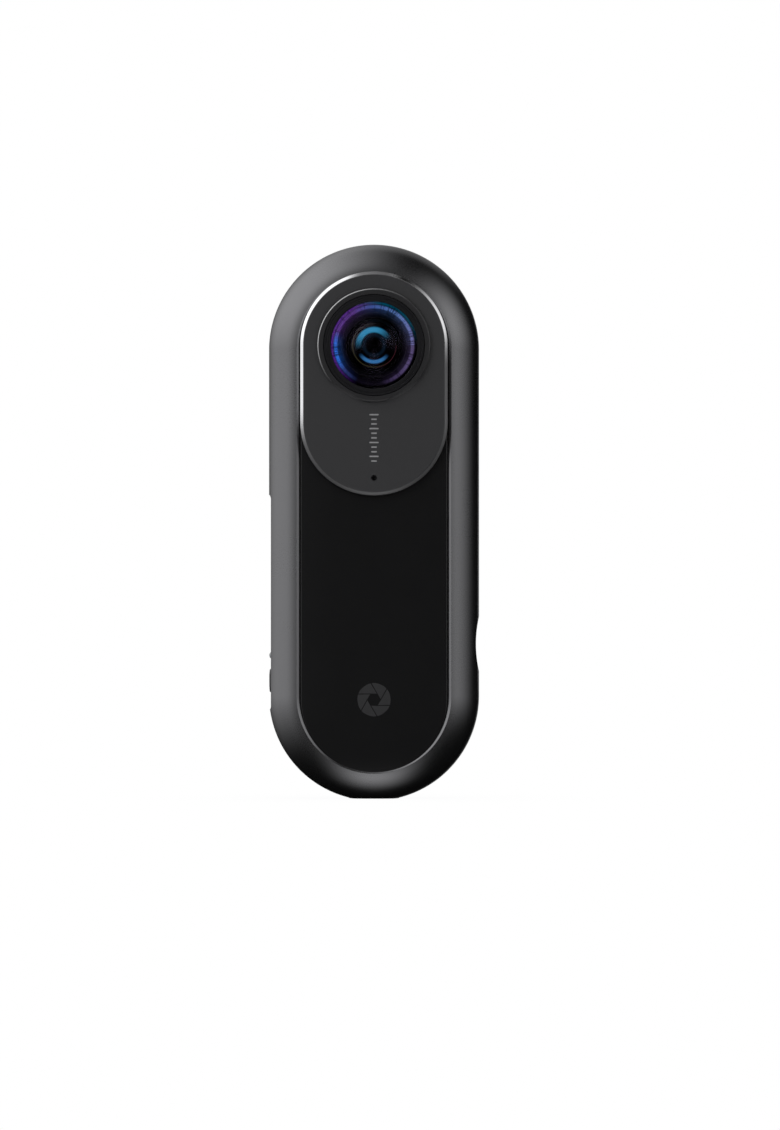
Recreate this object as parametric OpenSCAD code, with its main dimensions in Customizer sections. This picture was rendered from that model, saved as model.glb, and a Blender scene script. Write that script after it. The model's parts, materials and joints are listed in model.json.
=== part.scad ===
// Pocket panoramic action camera with two back-to-back wide-angle lenses.
//
// Frame: +Z up, the front lens looks towards -Y, +X is on the right seen from the front.
// The origin is the mouth of the tripod thread, in the middle of the flat foot.
//
// Most pieces are stacked in layers from the middle plane outwards, so they are drawn lying flat:
// plan x to the right, plan y up the body, height h towards the viewer. front() and rear() stand
// such a drawing up on the front or the back half.

/* [Body] */
// Width over the two sides
body_w = 36.4; // [34:0.2:46]
// Height from the foot to the crown
body_h = 96; // [88:1:120]
// Thickness over the two band faces
body_t = 17.2; // [16.8:0.2:22]
// Thickness over the two lens domes
overall_t = 25; // [24.4:0.2:32]
// Radius that rounds the band from its side to its face
edge_r = 6.2; // [5:0.1:7]
// Wall of the two housing halves
wall = 1.5; // [1.2:0.1:1.8]
// Depth of the flat foot cut into the lower round
foot_cut = 0.4; // [0.2:0.1:0.8]

/* [Panels] */
// Width of the band's face at the sides
band_side = 5.3; // [4.5:0.1:6]
// Width of the band's face at the crown
band_top = 4.7; // [4:0.1:6]
// Width of the band's face at the foot
band_bottom = 4.3; // [4:0.1:6]
// Rounding of the band's inner edge
band_round = 0.5; // [0.2:0.1:0.8]
// How far a panel lies below the band
panel_drop = 0.4; // [0.2:0.1:0.6]
// Thickness of a panel
panel_t = 0.9; // [0.6:0.1:1.2]
// Gap round a panel
panel_gap = 0.25; // [0.1:0.05:0.4]
// Thickness of the tape under a panel
tape_t = 0.1; // [0.05:0.05:0.2]
// Width of the tape under a panel
tape_w = 2.2; // [1.5:0.1:2.4]
// Thickness of the housing deck under a panel
deck_t = 1; // [0.8:0.1:1.2]

/* [Lens plate] */
// Height of a lens plate over its panel
bezel_rise = 1.1; // [0.8:0.1:1.4]
// Rounding of a lens plate's edge
bezel_round = 1; // [0.4:0.1:1]
// Distance from the lens axis to the centre of the plate's lower round
bezel_drop = 13.2; // [10:0.1:20]
// Gap between a lens plate and the band
bezel_gap = 0.15; // [0.1:0.05:0.3]
// Width of the raised ring round a lens
mound_w = 1; // [0.8:0.1:1.6]
// How deep the two lower flats cut into the ring
mound_flat = 0.6; // [0.2:0.05:0.7]
// Angle of the two lower flats to the level
mound_flat_angle = 32; // [25:1:40]
// Height of the surround over the lens plate
mound_rise = 0.75; // [0.4:0.05:1]
// Rounding of the surround's edge
mound_round = 0.35; // [0.2:0.05:0.4]

/* [Lens] */
// Radius of the glass that shows
glass_r = 7.45; // [6.2:0.05:7.6]
// Width of the dome lens's seated flange
flange_w = 0.5; // [0.4:0.05:0.6]
// Thickness of the dome lens at its middle
glass_t = 1.3; // [1:0.1:1.6]
// Radius of the hollow behind the dome lens
hollow_r = 5.9; // [5:0.1:6.1]
// Wall of the lens barrel
barrel_wall = 0.7; // [0.5:0.1:0.9]
// Width of the flange that holds a barrel behind the deck
barrel_flange = 0.7; // [0.5:0.1:1]
// Radius of the inner lens
inner_lens_r = 5.4; // [5:0.1:5.6]
// Radius of the relay lens
relay_lens_r = 4.1; // [3.6:0.1:4.3]
// Width and height of an image sensor
sensor_size = 7.6; // [6:0.1:7.8]
// Width and height of a sensor board
sensor_board_size = 16.4; // [15:0.1:17]

/* [Phone plug] */
// Width of the plug's metal shell
plug_w = 8.25; // [6.8:0.05:8.6]
// Thickness of the plug's metal shell
plug_t = 2.4; // [2:0.1:2.5]
// Length of the bare plug
plug_len = 6.65; // [5.5:0.05:7.5]
// Contacts in each of the plug's two rows
contacts_per_row = 12; // [6:1:12]
// Width of the arm that carries the plug
arm_w = 9.2; // [8.8:0.1:11.2]
// Thickness of the arm
arm_t = 3.4; // [3.2:0.1:3.8]
// Distance from the arm's pivot to the plug's tip
arm_reach = 18.2; // [16.8:0.1:22]
// Height of the arm's pivot over the centre of the lower round
pivot_rise = 22.6; // [21:0.1:27]
// Radius of the pivot pin
pin_r = 0.75; // [0.6:0.05:1]
// Depth of the thumb scallop
scallop_depth = 0.56; // [0.3:0.02:0.8]
// Length of the thumb scallop
scallop_len = 9.6; // [8:0.1:12]
// Height of the thumb scallop's middle over the centre of the lower round
scallop_rise = 9; // [8:0.1:12]

/* [Side controls] */
// Depth of the flat recess in the left side
recess_depth = 0.33; // [0.2:0.01:0.45]
// How far the recess reaches below the centre of the lower round
recess_fall = 2.3; // [0:0.1:3]
// Length of the recess
recess_len = 37.1; // [36:0.1:40]
// Width of the side plate
plate_w = 8.2; // [7.8:0.1:8.6]
// Thickness of the side plate
plate_t = 0.8; // [0.6:0.1:0.9]
// Length of the shutter button
button_len = 4.1; // [3.4:0.1:5]
// Width of the shutter button
button_w = 2.2; // [1.6:0.1:2.6]
// Travel of the shutter button
button_travel = 0.3; // [0.2:0.05:0.35]
// Radius of the status lamp
lamp_r = 0.7; // [0.5:0.05:0.9]

/* [Card and charging socket] */
// Width of the memory card
card_w = 11; // [10:0.1:11.2]
// Length of the memory card
card_len = 15; // [14:0.1:16]
// Thickness of the memory card
card_t = 0.75; // [0.6:0.05:0.8]
// Width of the charging socket's shell
usb_w = 8.94; // [8:0.02:9.2]
// Thickness of the charging socket's shell
usb_t = 3.2; // [2.6:0.1:3.3]
// Length of the charging socket
usb_len = 7.3; // [6.5:0.1:8]

/* [Inside] */
// Thickness of the battery
battery_t = 4.1; // [3.5:0.1:4.3]
// Thickness of the main board
board_t = 0.8; // [0.6:0.1:1]
// Height of the shield can over the main board
can_h = 1.8; // [1.4:0.1:2.2]
// Thickness of the inner frame
frame_t = 0.7; // [0.5:0.1:0.9]
// Thickness of the heat spreader
spreader_t = 0.5; // [0.3:0.1:0.8]
// Thickness of the flat cables
flat_cable_t = 0.12; // [0.1:0.01:0.14]

/* [Fasteners and thread] */
// Wall radius of the tripod thread, its minor radius
thread_r = 2.55; // [2.5:0.05:2.6]
// Depth of the tripod thread
thread_depth = 6; // [5:0.1:7]
// Radius of the tripod bush's flange
bush_flange_r = 4.1; // [3.9:0.1:4.4]
// Radius of the screws' shanks
screw_r = 0.8; // [0.7:0.05:0.9]
// Radius of the screws' heads
screw_head_r = 1.3; // [1.2:0.05:1.5]
// Height of the screws' heads
screw_head_h = 0.5; // [0.4:0.05:0.6]

/* [Hidden] */
$fn = 96;

over = 1;            // cutters run this far past what they cut
slip = 0.05;         // clearance of parts that slide or turn
fit = 0.1;           // clearance of parts that drop into place

// Outline of the body
side_r = body_w / 2;
half_t = body_t / 2;
lower_c = side_r - foot_cut;
upper_c = body_h - side_r;
inner_r = side_r - wall;
flat_half = half_t - edge_r;

// Outline of the opening that the panels fill
opening_r = side_r - band_side;
opening_lower_c = band_bottom + opening_r;
opening_upper_c = body_h - band_top - opening_r;
lens_z = opening_upper_c;

// Layers, as heights over the middle plane
panel_face = half_t - panel_drop;
panel_back = panel_face - panel_t;
deck_face = panel_back - tape_t;
deck_back = deck_face - deck_t;
bezel_face = panel_face + bezel_rise;
mound_face = bezel_face + mound_rise;
panel_r = opening_r - panel_gap;
bezel_r = opening_r - bezel_gap;
bezel_lower_c = lens_z - bezel_drop;
panel_chamfer = 0.15;

// Lens module, from its board outwards
sensor_gap = 0.15;
sensor_board_t = 0.6;
sensor_t = 0.9;
board_face = sensor_gap + sensor_board_t;
dome_apex = overall_t / 2;
flange_r = glass_r + flange_w;
cup_r = flange_r + slip;
barrel_r = cup_r + barrel_wall;
lens_hole_r = barrel_r + fit;
mound_r = lens_hole_r + mound_w;
barrel_flange_r = barrel_r + barrel_flange;
barrel_flange_t = 0.8;
retainer_lip_t = 0.35;
retainer_top = mound_face - 0.1;
barrel_top = retainer_top - retainer_lip_t;
flange_top = barrel_top - 0.7;
flange_base = flange_top - 0.7;
seal_t = 0.3;
cup_floor = flange_base - seal_t;
dome_rise = dome_apex - retainer_top;
dome_r = (glass_r * glass_r + dome_rise * dome_rise) / (2 * dome_rise);
skirt_wall = 0.7;
skirt_r = sensor_size / sqrt(2) + fit;
relay_gap = 0.75;
relay_t = 2.3;
relay_base = board_face + sensor_t + relay_gap;
relay_top = relay_base + relay_t;
relay_lip = 0.5;
relay_front_r = 5.2;
hollow_z = dome_apex - glass_t - hollow_r;
seal_inner_r = sqrt(hollow_r * hollow_r - pow(flange_base - hollow_z, 2)) + slip;
inner_gap = 0.2;
inner_base = relay_top + inner_gap;
inner_rise = 3.5;
tube_r = max(skirt_r + skirt_wall, inner_lens_r + slip + barrel_wall);
inner_front_r = 6.5;
inner_back_r = 3.4;
inner_back_rise = 2.1;
spacer_w = 0.45;
spacer_inner_r = inner_lens_r - spacer_w;
spacer_base = inner_base + inner_rise - inner_front_r
    + sqrt(inner_front_r * inner_front_r - spacer_inner_r * spacer_inner_r);

// Left side: recess, side plate, lamp, button, card slot and charging socket
recess_z = lower_c - recess_fall;
plate_x = -(side_r - recess_depth);
plate_back_x = plate_x + plate_t;
plate_margin = 0.4;
plate_len = recess_len - 2 * plate_margin;
plate_z = recess_z + recess_len / 2;
recess_w = plate_w + 2 * plate_margin;
recess_corner = 1.5;
plate_ledge = 1;
button_z = recess_z + 4.9;
lamp_z = recess_z + 9.3;
card_z = recess_z + 17.8;
usb_z = recess_z + 29.1;
flange_overlap = 0.4;
button_flange_t = 0.4;
button_back_x = plate_back_x + slip + button_flange_t;
switch_x = button_back_x + button_travel + slip;
switch_tip_t = 0.25;
switch_t = 1.25;
side_board_t = 0.5;
side_board_x = switch_x + switch_tip_t + switch_t;
frame_x = side_board_x + side_board_t;

// Main board, between the middle plane and the front deck
board_back_y = -usb_t / 2;
board_front_y = board_back_y - board_t;
can_front_y = board_front_y - can_h;
spreader_back_y = -deck_back + spreader_t;

// Right side: slot, arm and tray of the phone plug
pivot_z = lower_c + pivot_rise;
scallop_z = lower_c + scallop_rise;
arm_r = arm_w / 2;
arm_inset = 0.1;
pivot_x = side_r - arm_inset - arm_r;
plug_tip_z = pivot_z - arm_reach;
plug_base_z = plug_tip_z + plug_len;
slot_gap = 0.2;
slot_end_gap = 0.4;
slot_half_t = arm_t / 2 + slot_gap;
slot_z = [plug_tip_z - slot_end_gap, pivot_z + arm_r + slot_end_gap];
slot_x = pivot_x - arm_r - slot_gap;
tray_wall = 0.7;
tray_half_t = slot_half_t + tray_wall;
tray_x = slot_x - tray_wall;
tray_z = [slot_z[0] - tray_wall, slot_z[1] + tray_wall];
tray_lip = slip + max(0, inner_r - cavity_reach(tray_half_t));
scallop_r = (scallop_len * scallop_len / 4 + scallop_depth * scallop_depth) / (2 * scallop_depth);
shell_wall = 0.3;
shell_seat = 1.2;
slit_t = 0.7;
slit_w = 6.7;
contact_pitch = 0.5;
contact_size = [0.25, 0.1, 4.5];

// Tripod bush, seam and housing screws
bush_body_h = thread_depth + 1;
bush_body_r = bush_flange_r - 0.3;
bush_boss_r = bush_body_r + 1.6;
bush_flange_h = 1.2;
collar_z = [2.6, 3.8];
collar_r = bush_body_r + 0.6;
seam_r = [side_r - 1.1, side_r - 0.8];
seam_h = 0.5;
boss_r = screw_r + 1;
screw_depth = deck_back - 0.9;
screw_ring_r = panel_r - screw_head_r - 0.15;
foot_screw_angle = 42;
foot_screw = [screw_ring_r * sin(foot_screw_angle), opening_lower_c - screw_ring_r * cos(foot_screw_angle)];
crown_screw = [screw_ring_r, lens_z - barrel_flange_r - 1.5];

// Inner frame and its screws
room = 0.4;
frame_right_x = tray_x - room;
frame_wide_x = -frame_x;
frame_z = [foot_screw[1] + boss_r + 2.7, crown_screw[1] - boss_r - 0.2];
frame_y = [0.45, 0.45 + frame_t];
frame_screw_r = 0.7;
frame_boss_r = 1.5;
frame_foot_z = frame_z[0] + 1.5;
frame_crown_z = frame_z[1] - 1.9;
frame_screws_at = [
    [frame_x + 5.2, frame_foot_z], [frame_right_x - 2.1, frame_foot_z],
    [0.2 - screw_ring_r, frame_crown_z], [screw_ring_r - 0.2, frame_crown_z]
];

// Battery
lip_t = 0.7;
battery_back_y = deck_back - 0.25;
battery_y = [battery_back_y - battery_t, battery_back_y];
battery_x = [frame_x + lip_t, frame_right_x - 0.3];
battery_z = [frame_z[0] + 3.8, frame_z[1] - 4.7];
lip_y = battery_y[0] + 1.3;

// Charging socket and card
usb_x = plate_x + 0.3;
usb_end_x = usb_x + usb_len;
card_x = plate_x + 0.4;
card_wall = 0.3;
card_end_x = card_x + card_len;
card_y = board_back_y + card_wall + fit + card_t / 2;
card_lip_t = 0.2;
card_lip_w = 1.2;
card_chamfer = 1.4;
card_notch = 0.8;

// Switch, lamp and the board behind them
switch_tip_r = 0.8;
switch_half_w = 1.5;
switch_half_len = 1.8;
led_x = side_board_x - 0.8;
led_half_w = 0.4;
led_half_len = 0.5;
side_board_half_w = 3;
side_board_z = [button_z - 3, lamp_z + 1.6];

// Microphone
mic_z = bezel_lower_c - 9.7;
mic_hole_r = 0.5;
mic_half_w = 1.7;
mic_h = 1;

// Shield can, its pad and spreader
can_x = [frame_x + 2.2, frame_right_x - 1.6];
can_z = [tray_z[0] + 3, mic_z - 5.4];
can_len = can_z[1] - can_z[0];
can_wall = 0.2;
pad_x = [can_x[0] + 2, can_x[0] + 14];
pad_z = [can_z[1] - 15, can_z[1] - 2];
spreader_edge = 1;

// Chips, each with its low corner, its width and length, and its height
processor_len = 0.42 * can_len;
memory_len = 0.3 * can_len;
chips = [
    [[can_x[0] + 2, can_z[1] - 3 - processor_len], [11, processor_len], 1.2],
    [[can_x[0] + 2, can_z[0] + 2], [8, memory_len], 1],
    [[frame_x + 4, mic_z - 2.5], [5, 5], 0.8],
    [[4, mic_z - 2], [3, 3], 0.9],
    [[-3, frame_z[1] - 6], [6, 3.5], 0.8]
];

// Connectors and flat cables
connector_h = 0.9;
connector_y = board_back_y + connector_h;
connector_z = frame_z[1] - 4.7;
connector_half_w = 2.5;
connector_len = 2.2;
battery_connector_z = [connector_z - 6, connector_z - 3];
cable_x = 4;
cable_half_w = 2.2;
cable_seat = 2;
cable_bend = 1;
cable_rise = 3;
cable_overlap = 3;
press_gap = 0.02;

// Antenna
antenna_start = 55;
antenna_t = 0.3;
antenna_seam_gap = 0.3;

// The radius that the cavity reaches at height h over the middle plane
function cavity_reach(h) =
    side_r - edge_r + sqrt(pow(edge_r - wall, 2) - pow(max(0, h - flat_half), 2));

// ---- Drawing aids --------------------------------------------------------------------------------

// Stands a flat drawing up on the front half
module front() rotate([90, 0, 0]) children();

// Stands a flat drawing up on the back half
module rear() mirror([0, 1, 0]) front() children();

// Turns a profile (distance from the centre line, height) into an upright capsule in plan
module capsule(lower, upper) {
    translate([0, upper, 0]) rotate_extrude(angle = 180) children();
    translate([0, lower, 0]) rotate([0, 0, 180]) rotate_extrude(angle = 180) children();
    translate([0, upper, 0]) rotate([90, 0, 0]) linear_extrude(upper - lower) {
        children();
        mirror([1, 0]) children();
    }
}

// Part of a profile: from radius r[0] to r[1] and height h[0] to h[1]
module band(r, h) translate([r[0], h[0]]) square([r[1] - r[0], h[1] - h[0]]);

// A block between two corners
module block(x, y, z) translate([x[0], y[0], z[0]]) cube([x[1] - x[0], y[1] - y[0], z[1] - z[0]]);

// Pushes an outline drawn in (y, z) along the body's width
module along_x(x) translate([x[0], 0, 0]) rotate([90, 0, 90]) linear_extrude(x[1] - x[0]) children();

// Pushes an outline drawn in (x, z) through the body's depth
module along_y(y) translate([0, y[1], 0]) rotate([90, 0, 0]) linear_extrude(y[1] - y[0]) children();

// A rectangle with round corners, about its own middle
module rounded(w, h, r) {
    square([w - 2 * r, h], center = true);
    square([w, h - 2 * r], center = true);
    for (sx = [-1, 1], sy = [-1, 1]) {
        translate([sx * (w / 2 - r), sy * (h / 2 - r)]) circle(r);
    }
}

// A rectangle whose short ends are full rounds, the long way along y
module oval(w, h) {
    square([w, h - w], center = true);
    for (s = [-1, 1]) {
        translate([0, s * (h - w) / 2]) circle(w / 2);
    }
}

// ---- Housing and panels --------------------------------------------------------------------------

// The body's section on one side of its centre line, drawn in by inset
module section(inset, low) {
    intersection() {
        union() {
            band([0, side_r - edge_r], [low, half_t - inset]);
            band([0, side_r - inset], [low, flat_half]);
            translate([side_r - edge_r, flat_half]) circle(edge_r - inset);
        }
        band([0, side_r], [low, half_t]);
    }
}

// The opening that a panel lies in, with the band's inner edge rounded
module opening_profile() {
    round_h = half_t - band_round - panel_chamfer;
    band([0, opening_r], [deck_face, half_t + over]);
    difference() {
        band([opening_r - slip, opening_r + band_round], [round_h, half_t + over]);
        translate([opening_r + band_round, round_h]) circle(band_round);
    }
}

// Places its children at each housing screw, lying flat
module at_housing_screws() {
    for (s = [-1, 1], p = [foot_screw, crown_screw]) {
        translate([s * p[0], p[1], 0]) children();
    }
}

// Places its children at each frame screw, lying flat
module at_frame_screws() {
    for (p = frame_screws_at) {
        translate([p[0], p[1], 0]) children();
    }
}

// One half of the housing lying flat, with its screw bosses and half of the boss for the bush
module housing_half() {
    boss_top = deck_back + deck_t / 2;
    difference() {
        union() {
            difference() {
                capsule(lower_c, upper_c) section(0, 0);
                capsule(lower_c, upper_c) intersection() {
                    section(wall, -over);
                    band([0, side_r], [-over, deck_back]);
                }
            }
            at_housing_screws() cylinder(r = boss_r, h = boss_top);
            intersection() {
                rotate([-90, 0, 0]) cylinder(r = bush_boss_r, h = bush_body_h + foot_cut);
                translate([-side_r, 0, 0]) cube([body_w, side_r, boss_top]);
            }
        }
        capsule(opening_lower_c, opening_upper_c) opening_profile();
        translate([0, lens_z, 0]) cylinder(r = lens_hole_r, h = half_t + over);
    }
}

// The left recess, with the seat and the window of the side plate
module left_side_cuts() {
    translate([0, 0, plate_z]) {
        along_x([-side_r - over, plate_x]) rounded(recess_w, recess_len, recess_corner);
        along_x([plate_x - over, plate_back_x]) rounded(plate_w + fit, plate_len + fit, recess_corner);
        along_x([plate_back_x - slip, plate_back_x + wall])
            rounded(plate_w - 2 * plate_ledge, plate_len - 2 * plate_ledge, plate_ledge);
    }
}

// The shallow dish on the right side that lets a thumb reach the plug
module scallop() {
    translate([side_r - scallop_depth + scallop_r, 0, scallop_z]) rotate([90, 0, 0])
        cylinder(r = scallop_r, h = body_w, center = true, $fn = 720);
}

// The seat of the tripod bush, with a ring that locks its collar
module bush_cuts() {
    translate([0, 0, -over]) cylinder(r = bush_flange_r + slip, h = over + bush_flange_h);
    cylinder(r = bush_body_r + slip, h = bush_body_h + slip);
    translate([0, 0, collar_z[0]]) cylinder(r = collar_r + slip, h = collar_z[1] - collar_z[0]);
}

// Everything cut across both halves: the sides, the flat foot and the bush
module shared_cuts() {
    left_side_cuts();
    block([inner_r - over, side_r + over], [-slot_half_t, slot_half_t], slot_z);
    scallop();
    block([-side_r, side_r], [-side_r, side_r], [-side_r, 0]);
    bush_cuts();
}

module front_housing() color("#4d4e52") difference() {
    front() {
        housing_half();
        at_frame_screws() translate([0, 0, -board_front_y])
            cylinder(r = frame_boss_r, h = deck_back + deck_t / 2 + board_front_y);
    }
    shared_cuts();
    front() {
        capsule(lower_c, upper_c) band([seam_r[0] - slip, seam_r[1] + slip], [-over, seam_h + slip]);
        at_housing_screws() translate([0, 0, -over]) cylinder(r = screw_r + slip, h = over + screw_depth);
        at_frame_screws() cylinder(r = frame_screw_r + slip, h = screw_depth);
        translate([0, mic_z, 0]) cylinder(r = mic_hole_r + 2 * fit, h = half_t);
    }
}

module rear_housing() color("#4d4e52") difference() {
    rear() {
        housing_half();
        capsule(lower_c, upper_c) band(seam_r, [-seam_h, seam_h]);
    }
    shared_cuts();
    rear() at_housing_screws() {
        translate([0, 0, -over]) cylinder(r = screw_r + fit, h = half_t + over);
        translate([0, 0, deck_face - screw_head_h]) cylinder(r = screw_head_r + fit, h = half_t);
    }
}

// A gloss panel lying flat
module panel() {
    difference() {
        capsule(opening_lower_c, opening_upper_c) {
            band([0, panel_r - panel_chamfer], [panel_back, panel_face]);
            band([0, panel_r], [panel_back, panel_face - panel_chamfer]);
        }
        translate([0, lens_z, 0]) cylinder(r = lens_hole_r, h = half_t);
    }
}

module front_panel() color("#101113") front() difference() {
    panel();
    translate([0, mic_z, 0]) cylinder(r = mic_hole_r + fit, h = half_t);
}

module rear_panel() color("#101113") rear() panel();

module panel_tape() {
    tape_r = panel_r - slip;
    capsule(opening_lower_c, opening_upper_c) band([tape_r - tape_w, tape_r], [deck_face, panel_back]);
}

module panel_tapes() color("#26282a") {
    front() panel_tape();
    rear() panel_tape();
}

// The raised ring round a lens, with a flat at its lower left and lower right
module mound() difference() {
    rotate_extrude() {
        band([0, mound_r - mound_round], [panel_face, mound_face]);
        band([0, mound_r], [panel_face, mound_face - mound_round]);
        translate([mound_r - mound_round, mound_face - mound_round]) circle(mound_round);
    }
    for (s = [-1, 1]) {
        rotate([0, 0, s * mound_flat_angle]) translate([-mound_r, -2 * mound_r + mound_flat, bezel_face])
            cube([2 * mound_r, mound_r, dome_apex]);
    }
}

// A lens plate lying flat, with its lens surround
module bezel() {
    difference() {
        union() {
            capsule(bezel_lower_c, opening_upper_c) intersection() {
                union() {
                    band([0, bezel_r - bezel_round], [panel_face, bezel_face]);
                    band([0, bezel_r], [panel_face, bezel_face - bezel_round]);
                    translate([bezel_r - bezel_round, bezel_face - bezel_round]) circle(bezel_round);
                }
                band([0, bezel_r], [panel_face, bezel_face]);
            }
            translate([0, lens_z, 0]) mound();
        }
        translate([0, lens_z, 0]) cylinder(r = lens_hole_r, h = dome_apex);
    }
}

module front_bezel() color("#36373a") front() difference() {
    bezel();
    translate([0, mic_z, 0]) cylinder(r = mic_hole_r, h = dome_apex);
}

module rear_bezel() color("#36373a") rear() bezel();

// ---- Lens modules --------------------------------------------------------------------------------

// Stands lens pieces, drawn about their own axis, up on the front or the back
module front_lens() front() translate([0, lens_z, 0]) children();
module rear_lens() rear() translate([0, lens_z, 0]) children();

module dome_lens() color("#2b3550", 0.6) rotate_extrude() difference() {
    union() {
        band([0, flange_r], [flange_base, flange_top]);
        intersection() {
            band([0, glass_r], [flange_base, dome_apex]);
            translate([0, dome_apex - dome_r]) circle(dome_r);
        }
    }
    translate([0, hollow_z]) circle(hollow_r);
}

module lens_seal() color("#18181a") rotate_extrude() band([seal_inner_r, flange_r], [cup_floor, flange_base]);

module lens_retainer() color("#1d1d20") rotate_extrude() {
    band([glass_r + slip, cup_r - slip], [flange_top, retainer_top]);
    band([glass_r + slip, barrel_r], [barrel_top, retainer_top]);
}

module lens_barrel() color("#222226") rotate_extrude() difference() {
    union() {
        band([0, tube_r], [board_face, deck_back]);
        band([0, barrel_flange_r], [deck_back - barrel_flange_t, deck_back]);
        band([0, barrel_r], [deck_back - barrel_flange_t, barrel_top]);
    }
    band([0, skirt_r], [0, board_face + sensor_t + 2 * fit]);
    band([0, relay_lens_r - relay_lip], [0, relay_base]);
    band([0, relay_lens_r + slip], [relay_base, inner_base]);
    band([0, inner_lens_r + slip], [inner_base, cup_floor]);
    band([0, cup_r], [cup_floor, dome_apex]);
}

module lens_spacer() color("#2f3033") rotate_extrude() band([spacer_inner_r, inner_lens_r], [spacer_base, cup_floor]);

module inner_lens() color("#3c5a78", 0.6) rotate_extrude() difference() {
    intersection() {
        band([0, inner_lens_r], [inner_base, inner_base + inner_rise]);
        translate([0, inner_base + inner_rise - inner_front_r]) circle(inner_front_r);
    }
    translate([0, inner_base + inner_back_rise - inner_back_r]) circle(inner_back_r);
}

module relay_lens() color("#4a6a80", 0.6) rotate_extrude() intersection() {
    band([0, relay_lens_r], [relay_base, relay_top]);
    translate([0, relay_top - relay_front_r]) circle(relay_front_r);
}

module image_sensor() color("#3a3050") translate([-sensor_size / 2, -sensor_size / 2, board_face])
    cube([sensor_size, sensor_size, sensor_t]);

module sensor_board() color("#1f5a3a") translate([-sensor_board_size / 2, -sensor_board_size / 2, sensor_gap])
    cube([sensor_board_size, sensor_board_size, sensor_board_t]);

// ---- Phone plug ----------------------------------------------------------------------------------

module pivot_hole(r) translate([pivot_x, 0, pivot_z]) rotate([90, 0, 0]) cylinder(r = r, h = body_t, center = true);

// An oval outline of the plug, across its length, drawn in by inset
module plug_outline(inset) rotate(90) oval(plug_t - 2 * inset, plug_w - 2 * inset);

module plug_tray() color("#17181a") difference() {
    block([tray_x, inner_r - tray_lip], [-tray_half_t, tray_half_t], tray_z);
    block([slot_x, side_r], [-slot_half_t, slot_half_t], slot_z);
    pivot_hole(pin_r + press_gap);
}

// The arm, with the insulator that fills the plug's metal shell
module plug_arm() color("#2a2b2e") difference() {
    union() {
        along_y([-arm_t / 2, arm_t / 2]) {
            translate([pivot_x, pivot_z]) circle(arm_r);
            translate([pivot_x - arm_r, plug_base_z]) square([arm_w, arm_reach - plug_len]);
        }
        translate([pivot_x, 0, plug_tip_z + room]) linear_extrude(plug_len)
            plug_outline(shell_wall + press_gap);
    }
    translate([pivot_x, 0, plug_base_z - over]) linear_extrude(over + shell_seat) difference() {
        plug_outline(-press_gap);
        plug_outline(shell_wall + press_gap);
    }
    translate([pivot_x - slit_w / 2, -slit_t / 2, plug_tip_z]) cube([slit_w, slit_t, plug_len - over]);
    pivot_hole(pin_r + slip);
    scallop();
}

module plug_shell() color("#b9bcc0") translate([pivot_x, 0, plug_tip_z])
    linear_extrude(plug_len + shell_seat - press_gap) difference() {
        plug_outline(0);
        plug_outline(shell_wall);
    }

// Two rows of contacts on the walls of the plug's slit
module plug_contacts() color("#d4af5a") translate([pivot_x, 0, plug_tip_z + over]) {
    for (i = [0 : contacts_per_row - 1], row = [0, 1]) {
        translate([
            (i - (contacts_per_row - 1) / 2) * contact_pitch - contact_size[0] / 2,
            row * (slit_t - contact_size[1]) - slit_t / 2,
            0
        ]) cube(contact_size);
    }
}

module plug_pin() color("#a8abb0") translate([pivot_x, 0, pivot_z]) rotate([90, 0, 0])
    cylinder(r = pin_r, h = 2 * tray_half_t, center = true);

// The leaf spring that holds the arm folded or open
module plug_detent() color("#9a9da2") block(
    [slot_x, slot_x + slot_gap - slip], [-arm_t / 2 + slot_gap, arm_t / 2 - slot_gap],
    [pivot_z - arm_r, pivot_z + arm_r - over]
);

module plug_cable() color("#c07a2a") block(
    [frame_right_x - cable_overlap, tray_x], [board_back_y, board_back_y + flat_cable_t],
    [pivot_z - arm_r, pivot_z + over]
);

// ---- Side plate and its controls -----------------------------------------------------------------

module side_plate() color("#3a3b3e") difference() {
    translate([0, 0, plate_z]) along_x([plate_x, plate_back_x]) rounded(plate_w, plate_len, recess_corner);
    along_x([plate_x - over, plate_back_x + over]) {
        translate([0, button_z]) oval(button_w + 2 * fit, button_len + 2 * fit);
        translate([0, lamp_z]) circle(lamp_r + slip);
        translate([card_y, card_z]) square([card_t + 4 * fit + card_lip_t, card_w + 4 * fit], center = true);
        translate([0, usb_z]) oval(usb_t + 2 * fit, usb_w + 2 * fit);
    }
}

module shutter_button() color("#303134") translate([0, 0, button_z]) {
    along_x([-side_r, button_back_x]) oval(button_w, button_len);
    along_x([plate_back_x + slip, button_back_x])
        oval(button_w + 2 * flange_overlap, button_len + 2 * flange_overlap);
}

module button_switch() color("#b8bab8") translate([0, 0, button_z]) {
    block(
        [side_board_x - switch_t, side_board_x], [-switch_half_w, switch_half_w], [-switch_half_len, switch_half_len]
    );
    translate([switch_x, 0, 0]) rotate([0, 90, 0]) cylinder(r = switch_tip_r, h = switch_tip_t + slip);
}

module status_lamp() color("#d8dde0", 0.8) translate([0, 0, lamp_z]) {
    translate([lamp_r - side_r, 0, 0]) sphere(lamp_r);
    translate([lamp_r - side_r, 0, 0]) rotate([0, 90, 0]) cylinder(r = lamp_r, h = led_x - lamp_r + side_r - fit);
    translate([plate_back_x + slip, 0, 0]) rotate([0, 90, 0])
        cylinder(r = lamp_r + flange_overlap, h = flange_overlap);
}

module status_led() color("#e8e6d8") block(
    [led_x, side_board_x], [-led_half_w, led_half_w], [lamp_z - led_half_len, lamp_z + led_half_len]
);

module side_board() color("#1f5a3a") block(
    [side_board_x, frame_x], [-side_board_half_w, side_board_half_w], side_board_z
);

// ---- Charging socket and card --------------------------------------------------------------------

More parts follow.
